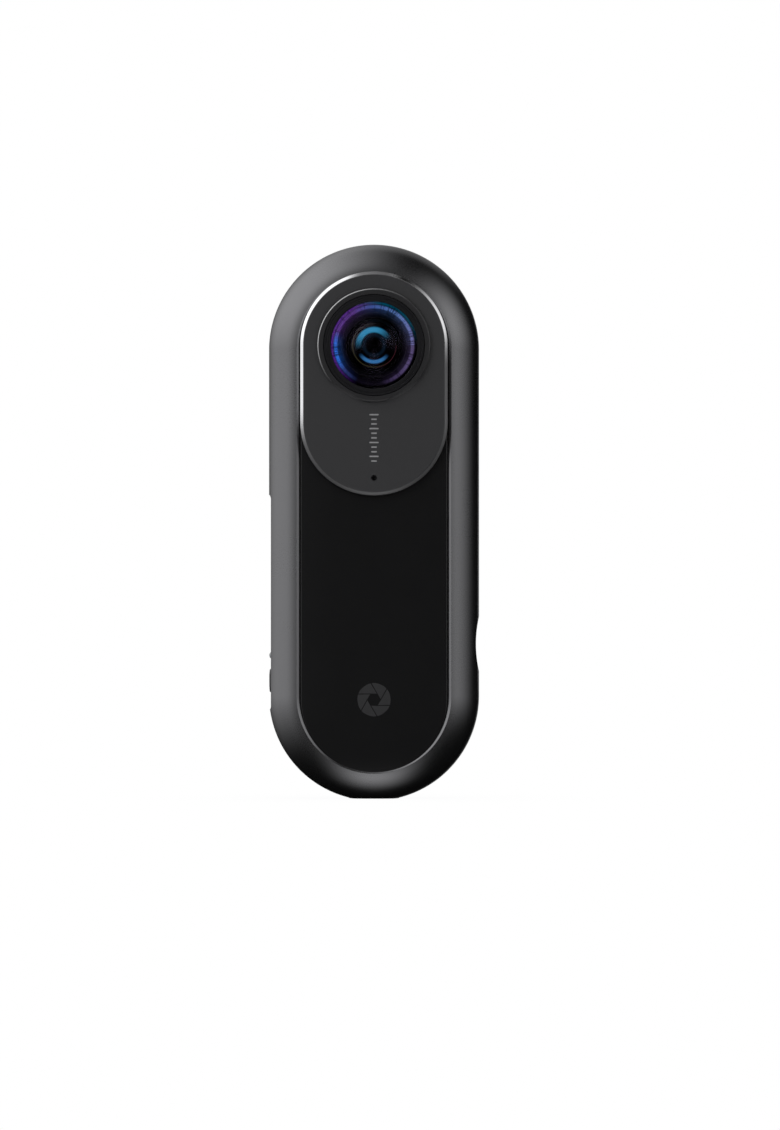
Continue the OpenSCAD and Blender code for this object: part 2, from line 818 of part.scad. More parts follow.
module usb_socket() color("#b4b7bb") translate([0, 0, usb_z]) difference() {
    along_x([usb_x, usb_end_x]) oval(usb_t, usb_w);
    along_x([usb_x - over, usb_end_x - shell_wall]) oval(usb_t - 2 * shell_wall, usb_w - 2 * shell_wall);
}

module usb_tongue() color("#18191b") block(
    [usb_x + over, usb_end_x - shell_wall], [-slit_t / 2, slit_t / 2], [usb_z - slit_w / 2, usb_z + slit_w / 2]
);

// The space that the card fills, with a gap all round
module card_room(gap) block(
    [card_x, card_end_x + gap],
    [card_y - card_t / 2 - gap, card_y + card_t / 2 + gap],
    [card_z - card_w / 2 - gap, card_z + card_w / 2 + gap]
);

module card_socket() color("#aeb1b5") difference() {
    block(
        [card_x + card_lip_w + fit, card_end_x + fit + card_wall],
        [board_back_y, card_y + card_t / 2 + fit + card_wall],
        [card_z - card_w / 2 - fit - card_wall, card_z + card_w / 2 + fit + card_wall]
    );
    card_room(fit);
}

// A memory card with a finger lip, a chamfered corner and a side notch
module memory_card() color("#26272a") difference() {
    union() {
        card_room(0);
        translate([card_x, card_y, card_z - card_w / 2]) cube([card_lip_w, card_t / 2 + card_lip_t, card_w]);
    }
    translate([card_end_x, card_y, card_z + card_w / 2]) rotate([90, 0, 0])
        cylinder(r = card_chamfer, h = body_t, center = true, $fn = 4);
    translate([card_end_x - card_len / 2, card_y, card_z - card_w / 2]) rotate([90, 0, 0])
        cylinder(r = card_notch, h = body_t, center = true, $fn = 4);
}

// ---- Boards, battery and frame -------------------------------------------------------------------

// The outline in (x, z) that the main board and the inner frame share, clear of the plug's tray
module frame_outline() difference() {
    translate([frame_x, frame_z[0]]) square([frame_wide_x - frame_x, frame_z[1] - frame_z[0]]);
    translate([frame_right_x, tray_z[0] - room]) square([frame_wide_x, tray_z[1] - tray_z[0] + 2 * room]);
    for (p = frame_screws_at) {
        translate(p) circle(frame_screw_r + slip);
    }
}

module main_board() color("#1f5a3a") along_y([board_front_y, board_back_y]) frame_outline();

// A chip on the front face of the main board
module chip(corner, size, h) block(
    [corner[0], corner[0] + size[0]], [board_front_y - h, board_front_y], [corner[1], corner[1] + size[1]]
);

module board_chips() color("#1b1c1f") {
    for (c = chips) {
        chip(c[0], c[1], c[2]);
    }
}

module shield_can() color("#b9bbbd") difference() {
    block(can_x, [can_front_y, board_front_y], can_z);
    block(
        [can_x[0] + can_wall, can_x[1] - can_wall], [can_front_y + can_wall, board_front_y + over],
        [can_z[0] + can_wall, can_z[1] - can_wall]
    );
}

module thermal_pad() color("#8d93a0") block(pad_x, [spreader_back_y, can_front_y], pad_z);

module heat_spreader() color("#4a4a4a") block(
    can_x, [-deck_back, spreader_back_y], [can_z[0] - spreader_edge, can_z[1] + spreader_edge]
);

// Two connectors for the sensor cables and one for the battery
module board_connectors() color("#e6e0cc") {
    for (s = [-1, 1]) {
        translate([s * cable_x, 0, 0]) block(
            [-connector_half_w, connector_half_w], [board_back_y, connector_y],
            [connector_z, connector_z + connector_len]
        );
    }
    block([-connector_half_w, connector_half_w], [board_back_y, connector_y], battery_connector_z);
}

// A flat cable from the back of a sensor board (side -1 is the front one) down to its connector
module sensor_cable(side) {
    board_y = side * (sensor_gap - flat_cable_t / 2);
    board_end_z = lens_z - sensor_board_size / 2;
    end_y = connector_y + flat_cable_t / 2;
    path = [
        [board_y, board_end_z + cable_seat], [board_y, board_end_z - cable_bend],
        [end_y, connector_z + cable_rise], [end_y, connector_z]
    ];
    edge = [for (p = path) p + [flat_cable_t / 2, 0]];
    back = [for (i = [len(path) - 1 : -1 : 0]) path[i] - [flat_cable_t / 2, 0]];
    along_x([side * cable_x - cable_half_w, side * cable_x + cable_half_w]) polygon(concat(edge, back));
}

module sensor_cables() color("#c07a2a") {
    sensor_cable(-1);
    sensor_cable(1);
}

module battery() color("#6a6d70") block(battery_x, battery_y, battery_z);

module battery_pad() color("#3c3f42") block(
    [usb_end_x + room, battery_x[1] - room], [frame_y[1], battery_y[0]], [battery_z[0] + room, battery_z[1] - room]
);

// A plate with posts for the main board and a lip on three sides of the battery
module inner_frame() color("#8b8e92") difference() {
    union() {
        along_y(frame_y) frame_outline();
        for (p = frame_screws_at) {
            translate([p[0], frame_y[0] + slip, p[1]]) rotate([90, 0, 0])
                cylinder(r = frame_boss_r, h = frame_y[0] + slip - board_back_y);
        }
        difference() {
            block([frame_x, battery_x[1]], [frame_y[0], lip_y], [battery_z[0] - lip_t, battery_z[1] + lip_t]);
            block([battery_x[0] - slip, side_r], [frame_y[1], side_r], [battery_z[0] - slip, battery_z[1] + slip]);
        }
    }
    block(
        [-side_r, usb_end_x + fit], [-side_r, usb_t / 2 + fit],
        [usb_z - usb_w / 2 - room, usb_z + usb_w / 2 + room]
    );
    for (p = frame_screws_at) {
        translate([p[0], 0, p[1]]) rotate([90, 0, 0]) cylinder(r = frame_screw_r + slip, h = body_t, center = true);
    }
}

// A strip bent along the inside of the crown
module antenna() color("#b87a3c") front() translate([0, upper_c, 0]) rotate(antenna_start)
    rotate_extrude(angle = 180 - 2 * antenna_start)
        band([inner_r - press_gap - antenna_t, inner_r - press_gap], [antenna_seam_gap, flat_half]);

module microphone() color("#c9c6b8") block(
    [-mic_half_w, mic_half_w], [board_front_y - mic_h, board_front_y], [mic_z - mic_half_w, mic_z + mic_half_w]
);

module mic_boot() color("#202124") front() translate([0, mic_z, mic_h - board_front_y]) difference() {
    cylinder(r = mic_half_w, h = deck_back - mic_h + board_front_y);
    translate([0, 0, -over]) cylinder(r = mic_hole_r + 2 * fit, h = deck_back);
}

module mic_mesh() color("#55575b") front() translate([0, mic_z, deck_face])
    cylinder(r = mic_half_w - room, h = tape_t);

// ---- Bush and screws -----------------------------------------------------------------------------

module tripod_bush() color("#c2a25a") rotate_extrude() difference() {
    union() {
        band([0, bush_flange_r], [0, bush_flange_h]);
        band([0, bush_body_r], [0, bush_body_h]);
        band([0, collar_r], [collar_z[0] + slip, collar_z[1] - slip]);
    }
    band([0, thread_r], [-over, thread_depth]);
}

// A screw lying flat: shank and head from height h[0] to h[1], with a hexagon socket
module screw(r, h) difference() {
    union() {
        translate([0, 0, h[0]]) cylinder(r = r, h = h[1] - h[0]);
        translate([0, 0, h[1] - screw_head_h]) cylinder(r = r + screw_head_r - screw_r, h = screw_head_h);
    }
    translate([0, 0, h[1] - screw_head_h / 2]) cylinder(r = r * 0.7, h = screw_head_h, $fn = 6);
}

module housing_screws() color("#8a8c90") rear() at_housing_screws()
    screw(screw_r, [fit - screw_depth, deck_face]);

module frame_screws() color("#8a8c90") mirror([0, 1, 0]) front() at_frame_screws()
    screw(frame_screw_r, [fit - screw_depth, frame_y[1] + screw_head_h]);

// ---- Assembly ------------------------------------------------------------------------------------

front_housing();
rear_housing();
front_panel();
rear_panel();
panel_tapes();
front_bezel();
rear_bezel();
front_lens() dome_lens();  // front_dome_lens
front_lens() lens_seal();  // front_lens_seal
front_lens() lens_retainer();  // front_lens_retainer
front_lens() lens_barrel();  // front_lens_barrel
front_lens() lens_spacer();  // front_lens_spacer
front_lens() inner_lens();  // front_inner_lens
front_lens() relay_lens();  // front_relay_lens
front_lens() image_sensor();  // front_image_sensor
front_lens() sensor_board();  // front_sensor_board
rear_lens() dome_lens();  // rear_dome_lens
rear_lens() lens_seal();  // rear_lens_seal
rear_lens() lens_retainer();  // rear_lens_retainer
rear_lens() lens_barrel();  // rear_lens_barrel
rear_lens() lens_spacer();  // rear_lens_spacer
rear_lens() inner_lens();  // rear_inner_lens
rear_lens() relay_lens();  // rear_relay_lens
rear_lens() image_sensor();  // rear_image_sensor
rear_lens() sensor_board();  // rear_sensor_board
plug_tray();
plug_arm();
plug_shell();
plug_contacts();
plug_pin();
plug_detent();
plug_cable();
side_plate();
shutter_button();
button_switch();
status_lamp();
status_led();
side_board();
usb_socket();
usb_tongue();
card_socket();
memory_card();
main_board();
board_chips();
shield_can();
thermal_pad();
heat_spreader();
board_connectors();
sensor_cables();
battery();
battery_pad();
inner_frame();
antenna();
microphone();
mic_boot();
mic_mesh();
tripod_bush();
housing_screws();
frame_screws();
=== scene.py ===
# %% [markdown]
# A pocket camera with two wide-angle lenses, back to back. Its body is a satin metal band, split
# into a front and a rear half, that holds a gloss panel on each side. A lens plate sits on each
# panel, and carries one domed lens. The left side has a plate with the button, a lamp, a card slot
# and a charging socket. The right side has a plug on a short arm that folds out to meet a phone.
#
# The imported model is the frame. Every size used here is read from its boxes, in millimetres, so
# a new piece lands where the old one was. Only roundings and fine details add numbers of their own.

# %% Load the frame
import json
import math

import bmesh
import bpy
from mathutils import Matrix, Vector


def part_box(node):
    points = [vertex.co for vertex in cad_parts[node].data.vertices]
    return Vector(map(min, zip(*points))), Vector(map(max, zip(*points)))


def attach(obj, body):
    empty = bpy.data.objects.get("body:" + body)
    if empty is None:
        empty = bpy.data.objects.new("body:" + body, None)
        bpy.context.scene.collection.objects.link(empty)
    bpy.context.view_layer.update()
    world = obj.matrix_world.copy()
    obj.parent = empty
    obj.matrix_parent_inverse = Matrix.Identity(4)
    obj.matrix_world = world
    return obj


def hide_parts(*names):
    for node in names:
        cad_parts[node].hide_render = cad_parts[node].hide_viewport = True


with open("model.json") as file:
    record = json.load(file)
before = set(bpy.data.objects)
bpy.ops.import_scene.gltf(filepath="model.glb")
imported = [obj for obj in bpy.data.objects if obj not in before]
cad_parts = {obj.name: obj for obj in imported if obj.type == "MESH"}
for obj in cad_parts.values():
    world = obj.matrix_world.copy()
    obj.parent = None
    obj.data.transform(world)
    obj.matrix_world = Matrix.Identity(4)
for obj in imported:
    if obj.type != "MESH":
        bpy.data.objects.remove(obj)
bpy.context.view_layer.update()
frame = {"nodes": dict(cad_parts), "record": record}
NODES = frame["nodes"]
SLOT_OF = {part["node"]: part["material_slot"] for part in frame["record"]["subparts"]}
SLOTS = {row["slot"]: row for row in frame["record"]["materials"]}
MM = 0.001
FRONT, REAR = -1, 1
SIDES = {"front": FRONT, "rear": REAR}


def box_mm(node):
    """Lowest and highest corner of a CAD node, in millimetres."""
    return [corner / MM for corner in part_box(node)]


def heights_mm(node):
    """Nearest and furthest distance of a CAD node from the middle plane, in millimetres."""
    return sorted(abs(corner.y) for corner in box_mm(node))


# %% [markdown]
# Shader maths reads best as arithmetic. Sock wraps one socket of a node, and its operators add Math
# nodes, so a mask is written as 1 - mask. Graph adds every node, for shaders and for Geometry Nodes
# alike: its type, its settings, and then the values or links of its sockets.

# %% Writing node trees as expressions


class Sock:
    """One output socket, with operators that add Math nodes."""

    def __init__(self, graph, socket):
        self.graph = graph
        self.socket = socket

    def math(self, operation, *others):
        """A Math node whose first value is this socket."""
        return self.graph.math(operation, self, *others)

    def __add__(self, other):
        return self.math("ADD", other)

    def __sub__(self, other):
        return self.math("SUBTRACT", other)

    def __rsub__(self, other):
        return self.graph.math("SUBTRACT", other, self)

    def __mul__(self, other):
        return self.math("MULTIPLY", other)

    def __truediv__(self, other):
        return self.math("DIVIDE", other)

    def __lt__(self, other):
        return self.math("LESS_THAN", other)

    __radd__ = __add__
    __rmul__ = __mul__

    def abs(self):
        return self.math("ABSOLUTE")

    def most(self, other):
        return self.math("MAXIMUM", other)

    def fade(self, start, end):
        """0 at start, 1 at end, smooth between; start may be above end."""
        settings = {"interpolation_type": "SMOOTHSTEP"}
        low, high = (0.0, 1.0) if start < end else (1.0, 0.0)
        ends = {0: self, 1: min(start, end), 2: max(start, end), 3: low, 4: high}
        return self.graph.add("ShaderNodeMapRange", settings, ends)

    def bump_at(self, middle, half, soft):
        """1 within half of middle, falling to 0 over soft beyond."""
        return (self - middle).abs().fade(half + soft, half)

    def stripes(self, pitch, width):
        """1 on lines of that width, one pitch apart."""
        return self.math("PINGPONG", pitch / 2) < width / 2


MIXED_COLOUR = 2  # the output of a Mix node that holds a colour
BLACK = (0, 0, 0)


class Graph:
    """Adds nodes to a tree, and links them."""

    def __init__(self, tree):
        self.tree = tree
        tree.nodes.clear()

    def add(self, kind, settings=None, inputs=None, output=0):
        node = self.tree.nodes.new(kind)
        for key, value in (settings or {}).items():
            if key == "stops":
                self.set_stops(node.color_ramp, value)
            else:
                setattr(node, key, value)
        for key, value in (inputs or {}).items():
            target = self.find(node, key)
            for source in value if isinstance(value, list) else [value]:
                if isinstance(source, Sock):
                    self.tree.links.new(source.socket, target)
                else:
                    target.default_value = source
        if not node.outputs:
            return node
        return Sock(self, node.outputs[output])

    @staticmethod
    def find(node, key):
        if isinstance(key, int):
            return node.inputs[key]
        for socket in node.inputs:
            if key == socket.identifier:
                return socket
        return node.inputs[key]

    @staticmethod
    def set_stops(ramp, stops):
        while len(ramp.elements) < len(stops):
            ramp.elements.new(1.0)
        for element, (position, colour) in zip(ramp.elements, stops):
            element.position = position
            element.color = (*colour, 1.0)

    def math(self, operation, *values):
        return self.add("ShaderNodeMath", {"operation": operation}, dict(enumerate(values)))

    def axes(self, place):
        """A vector's three numbers."""
        apart = self.add("ShaderNodeSeparateXYZ", inputs={0: place})
        return [Sock(self, socket) for socket in apart.socket.node.outputs]

    def mix(self, factor, a, b):
        """Colour a where factor is 0, and b where it is 1."""
        colours = {
            key: value if isinstance(value, Sock) else (*value, 1.0)
            for key, value in (("A_Color", a), ("B_Color", b))
        }
        settings = {"data_type": "RGBA"}
        inputs = {"Factor_Float": factor, **colours}
        return self.add("ShaderNodeMix", settings, inputs, output=MIXED_COLOUR)

    def glow(self, parts):
        """Adds up colours, each times its mask."""
        settings = {"data_type": "RGBA", "blend_type": "ADD"}
        total, *others = [self.mix(mask, BLACK, colour) for mask, colour in parts]
        for part in others:
            inputs = {"Factor_Float": 1.0, "A_Color": total, "B_Color": part}
            total = self.add("ShaderNodeMix", settings, inputs, output=MIXED_COLOUR)
        return total


# %% [markdown]
# No real finish is one flat colour. Even moulded plastic has a grain of a few hundredths of a
# millimetre, and handling leaves patches that are a little smoother. One recipe covers every solid
# finish: a fine noise for the grain and a wide one for the handling, both in object coordinates, so
# that they stay on the piece when it moves. Stretching the fine noise turns it into brushing.

# %% A finish for each material slot
OBJECT_COORDINATES = 3  # the output of a Texture Coordinate node
EVEN = (1, 1, 1)
HANDLED_PATCH, FINE_SHARE = 9.0, 0.6


class Finish:
    """A Principled material under construction, with object coordinates in millimetres."""

    def __init__(self, name):
        self.material = bpy.data.materials.new(name)
        self.material.use_nodes = True
        self.graph = Graph(self.material.node_tree)
        self.shader = self.material.node_tree.nodes.new("ShaderNodeBsdfPrincipled")
        out = self.material.node_tree.nodes.new("ShaderNodeOutputMaterial")
        self.material.node_tree.links.new(self.shader.outputs[0], out.inputs[0])
        place = self.graph.add("ShaderNodeTexCoord", output=OBJECT_COORDINATES)
        self.place = self.vector("SCALE", place, Scale=1 / MM)
        self.heights = []

    def vector(self, operation, *values, **named):
        inputs = {**dict(enumerate(values)), **named}
        return self.graph.add("ShaderNodeVectorMath", {"operation": operation}, inputs)

    def axes(self, centre=(0, 0, 0)):
        """Object coordinates about a point, as three numbers."""
        return self.graph.axes(self.vector("SUBTRACT", self.place, centre))

    def noise(self, size, stretch=EVEN, detail=3.0):
        """Noise from 0 to 1 with features of about that size, in millimetres."""
        place = self.vector("MULTIPLY", self.place, stretch)
        inputs = {"Vector": place, "Scale": 1 / size, "Detail": detail}
        return self.graph.add("ShaderNodeTexNoise", inputs=inputs)

    def set(self, socket, value):
        target = self.shader.inputs[socket]
        if isinstance(value, Sock):
            self.graph.tree.links.new(value.socket, target)
        elif isinstance(value, (tuple, list)):
            target.default_value = (*value[:3], 1.0)
        else:
            target.default_value = value
        return self

    def relief(self, height, depth):
        """Adds a bump of that depth in millimetres."""
        inputs = {"Height": height, "Strength": 1.0, "Distance": depth * MM}
        if self.heights:
            inputs["Normal"] = self.heights[-1]
        self.heights.append(self.graph.add("ShaderNodeBump", inputs=inputs))
        return self.set("Normal", self.heights[-1])


def solid_finish(
    name, colour, rough, metal=0.0, grain=0.12, depth=0.004, tint=0.12, spread=0.08, stretch=EVEN
):
    """Grain, handling marks and a slight change of colour on one base."""
    finish = Finish(name)
    fine = finish.noise(grain, stretch)
    wide = finish.noise(HANDLED_PATCH)
    darker = tuple(channel * (1 - tint) for channel in colour)
    lighter = tuple(min(1.0, channel * (1 + tint)) for channel in colour)
    patchy = fine * FINE_SHARE + wide * (1 - FINE_SHARE)
    finish.set("Base Color", finish.graph.mix(patchy, darker, lighter))
    finish.set("Roughness", (wide - 0.5) * spread + (fine - 0.5) * spread + rough)
    finish.set("Metallic", metal)
    finish.relief(fine, depth)
    return finish


def slot_colour(slot):
    return SLOTS[slot]["base_color"][:3]


# rough, metal, grain, depth, tint, spread; a seventh entry stretches the grain into brushing
BRUSHED = (0.15, 0.15, 1.0)
ROLLED = (1.0, 1.0, 0.12)
SOLID = {
    "tape": (0.75, 0.0, 0.3, 0.01, 0.2, 0.1),
    "lens_metal": (0.42, 0.7, 0.08, 0.003, 0.2, 0.1),
    "seal_rubber": (0.6, 0.0, 0.1, 0.004, 0.2, 0.1),
    "inner_plastic": (0.5, 0.0, 0.12, 0.006, 0.2, 0.12),
    "plug_plastic": (0.44, 0.0, 0.1, 0.006, 0.15, 0.1),
    "polished_steel": (0.16, 1.0, 0.1, 0.001, 0.06, 0.08, ROLLED),
    "spring_steel": (0.3, 1.0, 0.08, 0.002, 0.1, 0.1, ROLLED),
    "gold": (0.22, 1.0, 0.08, 0.001, 0.08, 0.1),
    "side_plate": (0.38, 0.2, 0.1, 0.004, 0.15, 0.08),
    "button": (0.36, 0.0, 0.08, 0.003, 0.15, 0.08),
    "tin_plate": (0.3, 1.0, 0.1, 0.003, 0.1, 0.14, BRUSHED),
    "card": (0.4, 0.0, 0.08, 0.004, 0.15, 0.1),
    "chip": (0.46, 0.0, 0.06, 0.004, 0.2, 0.1),
    "pad": (0.7, 0.0, 0.4, 0.02, 0.1, 0.1),
    "connector": (0.4, 0.0, 0.1, 0.004, 0.1, 0.1),
    "foam": (0.9, 0.0, 0.35, 0.08, 0.5, 0.05),
    "frame_metal": (0.42, 1.0, 0.25, 0.01, 0.15, 0.15),
    "brass": (0.26, 1.0, 0.1, 0.002, 0.12, 0.12, ROLLED),
    "screw_steel": (0.34, 1.0, 0.08, 0.003, 0.2, 0.12, ROLLED),
}
LOOKS = {slot: solid_finish(slot, slot_colour(slot), *row) for slot, row in SOLID.items()}

LENS_BLACK, HARDLY_SHINY = (0.004, 0.004, 0.0045), 0.02
lens_black = solid_finish("lens_black", LENS_BLACK, 0.7, grain=0.2, depth=0.0, tint=0.2, spread=0.1)
LOOKS["lens_black"] = lens_black.set("Specular IOR Level", HARDLY_SHINY)
print(f"{len(LOOKS)} solid finishes")

# %% [markdown]
# The band is blasted metal under a thin graphite coat. It looks even from afar, but it is a mirror
# broken up by grains about a tenth of a millimetre wide, which is why its light falls off softly
# round the curve. So most of its look is roughness and metal, not colour.

# %% Band and panels
GRAPHITE, INK_GREY, DARK_INK = (0.2, 0.2, 0.205), (0.5, 0.5, 0.51), (0.042, 0.042, 0.044)
GLOSS_DARK, GLOSS_LIGHT = (0.019, 0.019, 0.0195), (0.022, 0.022, 0.0225)


def gloss_finish():
    """Polished black sheet, with slow waves that only its reflections show."""
    finish = Finish("gloss_panel")
    waves, haze = finish.noise(6.0), finish.noise(2.0)
    finish.set("Base Color", finish.graph.mix(waves, GLOSS_DARK, GLOSS_LIGHT))
    finish.set("Roughness", haze * 0.03 + 0.035)
    return finish.relief(waves, 0.002)


LOOKS["band"] = solid_finish("band", GRAPHITE, 0.28, 0.95, grain=0.09, depth=0.002, tint=0.1, spread=0.05)
LOOKS["gloss_panel"] = gloss_finish()
for name, colour, rough in (("printed_grey", INK_GREY, 0.6), ("printed_dark_grey", DARK_INK, 0.55)):
    LOOKS[name] = solid_finish(name, colour, rough, grain=0.1, depth=0.003, tint=0.08)
print("band, panel and ink finishes made")

# %% [markdown]
# The lens plate is satin, and only its bevelled edge and the rim of the lens ring are polished. One
# material covers all of it, because the parts differ in height over the middle plane, and that is a
# number that a material can read. The polished colour carries a painted highlight: it is brightest
# at the upper left, and it fades at the crown and towards the lower right.

# %% Lens plate
PLATE_GREY, RING_GREY, POLISHED = (0.085, 0.085, 0.088), (0.045, 0.045, 0.047), (0.95, 0.95, 0.96)
SATIN_ROUGH, SATIN_METAL = 0.4, 0.3
PLATE_STEP, JUST_OVER = 1.1, 0.02
PANEL_FACE = -box_mm("front_panel")[0].y
PLATE_FACE = PANEL_FACE + PLATE_STEP
MOUND_FACE = -box_mm("front_bezel")[0].y
LENS_Z = sum(corner.z for corner in box_mm("front_dome_lens")) / 2


def edge_polish_and_highlight(x, height, z):
    """Where the bevel round the plate is polished, with a painted highlight brightest at the upper left."""
    # Painted highlight: strongest at the upper left, fading at the crown and towards the lower right.
    crown = (z - LENS_Z).fade(8.5, 11) * x.abs().fade(5, 2)
    to_the_right = x.fade(-2, 2) * 14
    upper = (z - to_the_right).fade(LENS_Z - 18, LENS_Z - 10)
    polish_and_painted_highlight = upper * (1 - crown * 0.9) * 0.85 + 0.15
    return (1 - height.fade(PLATE_FACE - 0.1, PLATE_FACE - JUST_OVER)) * polish_and_painted_highlight


def rim_polish_and_highlight(x, height, z):
    """Where the round of the lens ring is polished, with a painted highlight strongest at the upper left.
    """
    # Painted highlight on the ring's round, strongest towards the upper left.
    rim_highlight_mask = (z - x - LENS_Z).fade(0, 9) * 0.9 + 0.08
    return height.bump_at(MOUND_FACE - 0.2, 0.13, 0.05) * rim_highlight_mask


def plate_finish():
    """A satin face inside a polished turned edge with a painted highlight, told apart by the height over
    the middle plane.
    """
    grain = {"grain": 0.08, "depth": 0.0008, "tint": 0.1, "spread": 0.05}
    finish = solid_finish("lens_plate", PLATE_GREY, SATIN_ROUGH, SATIN_METAL, **grain)
    x, y, z = finish.axes()
    height, fine = y.abs(), finish.noise(0.08)
    on_ring = height.fade(PLATE_FACE + JUST_OVER, PLATE_FACE + 3 * JUST_OVER)
    face = finish.graph.mix(on_ring, PLATE_GREY, RING_GREY)
    # The polished colour here carries the painted highlights of the bevel and the ring.
    plate_polish_and_highlight = edge_polish_and_highlight(x, height, z).most(rim_polish_and_highlight(x, height, z) * 0.6)
    finish.set("Metallic", plate_polish_and_highlight * (1 - SATIN_METAL) + SATIN_METAL)
    finish.set("Roughness", SATIN_ROUGH - plate_polish_and_highlight * 0.26 + fine * 0.04)
    return finish.set("Base Color", finish.graph.mix(plate_polish_and_highlight, face, POLISHED))


LOOKS["lens_plate"] = plate_finish()
print(f"plate face {PLATE_FACE:.2f} mm and ring {MOUND_FACE:.2f} mm from the middle plane")

# %% [markdown]
# Boards, foils, film and mesh each have a pattern that a plain grain can't give: solder mask over
# copper tracks, a wrinkled wrap, conductors inside clear film, and woven wire. Each is a few nodes
# on object coordinates.

# %% Patterned inner finishes
COPPER, GRID_BLUE = (0.62, 0.3, 0.12), (0.1, 0.16, 0.2)


def board_finish(name, colour):
    """Solder mask over copper tracks, which run in two directions in blocks."""
    finish = solid_finish(name, colour, 0.3, grain=0.1, depth=0.003)
    x, _, z = finish.axes()
    pitch, track, block_size = 0.8, 0.3, 4.0
    squares = {"Vector": finish.place, "Scale": 1 / block_size}
    block = finish.graph.add("ShaderNodeTexChecker", inputs=squares, output=1)
    across = x * block + z * (1 - block)
    line = across.stripes(pitch, track)
    covered = tuple(channel * 2.2 + 0.01 for channel in colour)
    finish.set("Base Color", finish.graph.mix(line, colour, covered))
    return finish.relief(line, 0.03)


def foil_finish(name, colour, crease, depth, rough, metal):
    """A wrap with creases."""
    finish = solid_finish(name, colour, rough, metal, grain=0.2, depth=0.003)
    cells = {"feature": "DISTANCE_TO_EDGE"}
    inputs = {"Vector": finish.place, "Scale": 1 / crease}
    edge = finish.graph.add("ShaderNodeTexVoronoi", cells, inputs)
    return finish.relief(edge.fade(0, 0.3), depth)


def film_finish(name, colour):
    """Copper lines inside a clear amber film."""
    finish = solid_finish(name, colour, 0.22, grain=0.2, depth=0.002)
    x, _, _ = finish.axes()
    line = x.stripes(pitch=0.3, width=0.14)
    finish.set("Base Color", finish.graph.mix(line, colour, COPPER))
    return finish.set("Metallic", line * 0.7)


def woven_finish(name, colour):
    """Fine wire cloth."""
    finish = solid_finish(name, colour, 0.35, 1.0, grain=0.05, depth=0.002)
    x, _, z = finish.axes()
    wire = 0.12
    weave = x.math("PINGPONG", wire) * z.math("PINGPONG", wire)
    return finish.relief(weave.fade(0, wire * wire), 0.05)


def sensor_finish(name, colour):
    """A dark chip under glass, whose fine grid shifts its colour."""
    finish = solid_finish(name, colour, 0.12, 0.3, grain=0.1, depth=0.001)
    x, _, z = finish.axes()
    grid = x.stripes(pitch=0.2, width=0.06).most(z.stripes(pitch=0.2, width=0.06))
    return finish.set("Base Color", finish.graph.mix(grid, colour, GRID_BLUE))


def clear_finish(name, colour, transmission, rough):
    """Clear or milky moulded resin."""
    finish = solid_finish(name, colour, rough, grain=0.3, depth=0.001, tint=0.03, spread=0.04)
    return finish.set("Transmission Weight", transmission).set("IOR", 1.5)


PATTERNED = {
    "circuit_board": (board_finish,),
    # crease, depth, rough, metal
    "graphite_foil": (foil_finish, 2.5, 0.04, 0.4, 0.8),
    "battery_foil": (foil_finish, 4.0, 0.06, 0.3, 0.9),
    "flat_cable": (film_finish,),
    "mesh_metal": (woven_finish,),
    "sensor": (sensor_finish,),
    # transmission, rough
    "lamp": (clear_finish, 0.5, 0.12),
    "led": (clear_finish, 0.3, 0.1),
}
for slot, (recipe, *values) in PATTERNED.items():
    LOOKS[slot] = recipe(slot, slot_colour(slot), *values)
print(f"{len(LOOKS)} finishes so far")

# %% [markdown]
# Each lens surface carries a coating that cancels most of its reflection and tints the rest. Seen
# from the front, the blackened rim of the domed lens shows a reflected ring that runs from violet to
# blue, and the small lens behind shows a cyan crescent above and a blue one below. These tinted
# reflections hardly change with the angle of view, so they are painted reflections: a faint light of
# the surface, by radius and angle about the lens axis, with faint painted rings at the small lens.

# %% Colours of the painted coating reflections
VIOLET, BLUE, CYAN = (0.1, 0.035, 0.24), (0.03, 0.16, 0.7), (0.03, 0.22, 0.4)
LAVENDER, PLUM, TEAL = (0.18, 0.17, 0.42), (0.06, 0.04, 0.11), (0.0, 0.07, 0.12)
OLIVE, RUST, NIGHT = (0.03, 0.028, 0.012), (0.05, 0.012, 0.018), (0.003, 0.002, 0.006)
DEEP_VIOLET, DEEP_BLUE, DEEP_CYAN = (0.09, 0.02, 0.24), (0.03, 0.14, 0.34), (0.002, 0.006, 0.012)

RIM_REFLECTION_HUES = [
    # turns from the right, anticlockwise, and the colour there
    (0.0, LAVENDER),
    (0.16, (0.1, 0.2, 0.5)),
    (0.25, (0.05, 0.1, 0.34)),
    (0.34, VIOLET),
    (0.44, VIOLET),
    (0.49, BLUE),
    (0.56, BLUE),
    (0.61, (0.03, 0.05, 0.2)),
    (0.68, NIGHT),
    (0.78, NIGHT),
    (0.84, PLUM),
    (0.92, (0.11, 0.08, 0.2)),
]
# Each painted reflection is a patch of a ring: its middle, half width and soft edge across the ring in
# millimetres, the same along the ring in turns, and a colour
RIM_REFLECTIONS = [
    ((7.0, 0.1, 0.4), (0.17, 0.05, 0.12), TEAL),
    ((6.85, 0.06, 0.3), (0.45, 0.1, 0.14), DEEP_VIOLET),
]
INNER_REFLECTIONS = [
    ((2.95, 0.3, 0.45), (0.3, 0.06, 0.19), CYAN),
    ((3.1, 0.15, 0.35), (0.745, 0.07, 0.1), DEEP_BLUE),
    ((4.35, 0.03, 0.06), (0.98, 0.1, 0.15), RUST),
    ((4.2, 0.05, 0.08), (0.6, 0.1, 0.2), OLIVE),
]
print(f"{len(RIM_REFLECTION_HUES)} hues round the rim, {len(INNER_REFLECTIONS)} tints inside")

# %% Lens glass


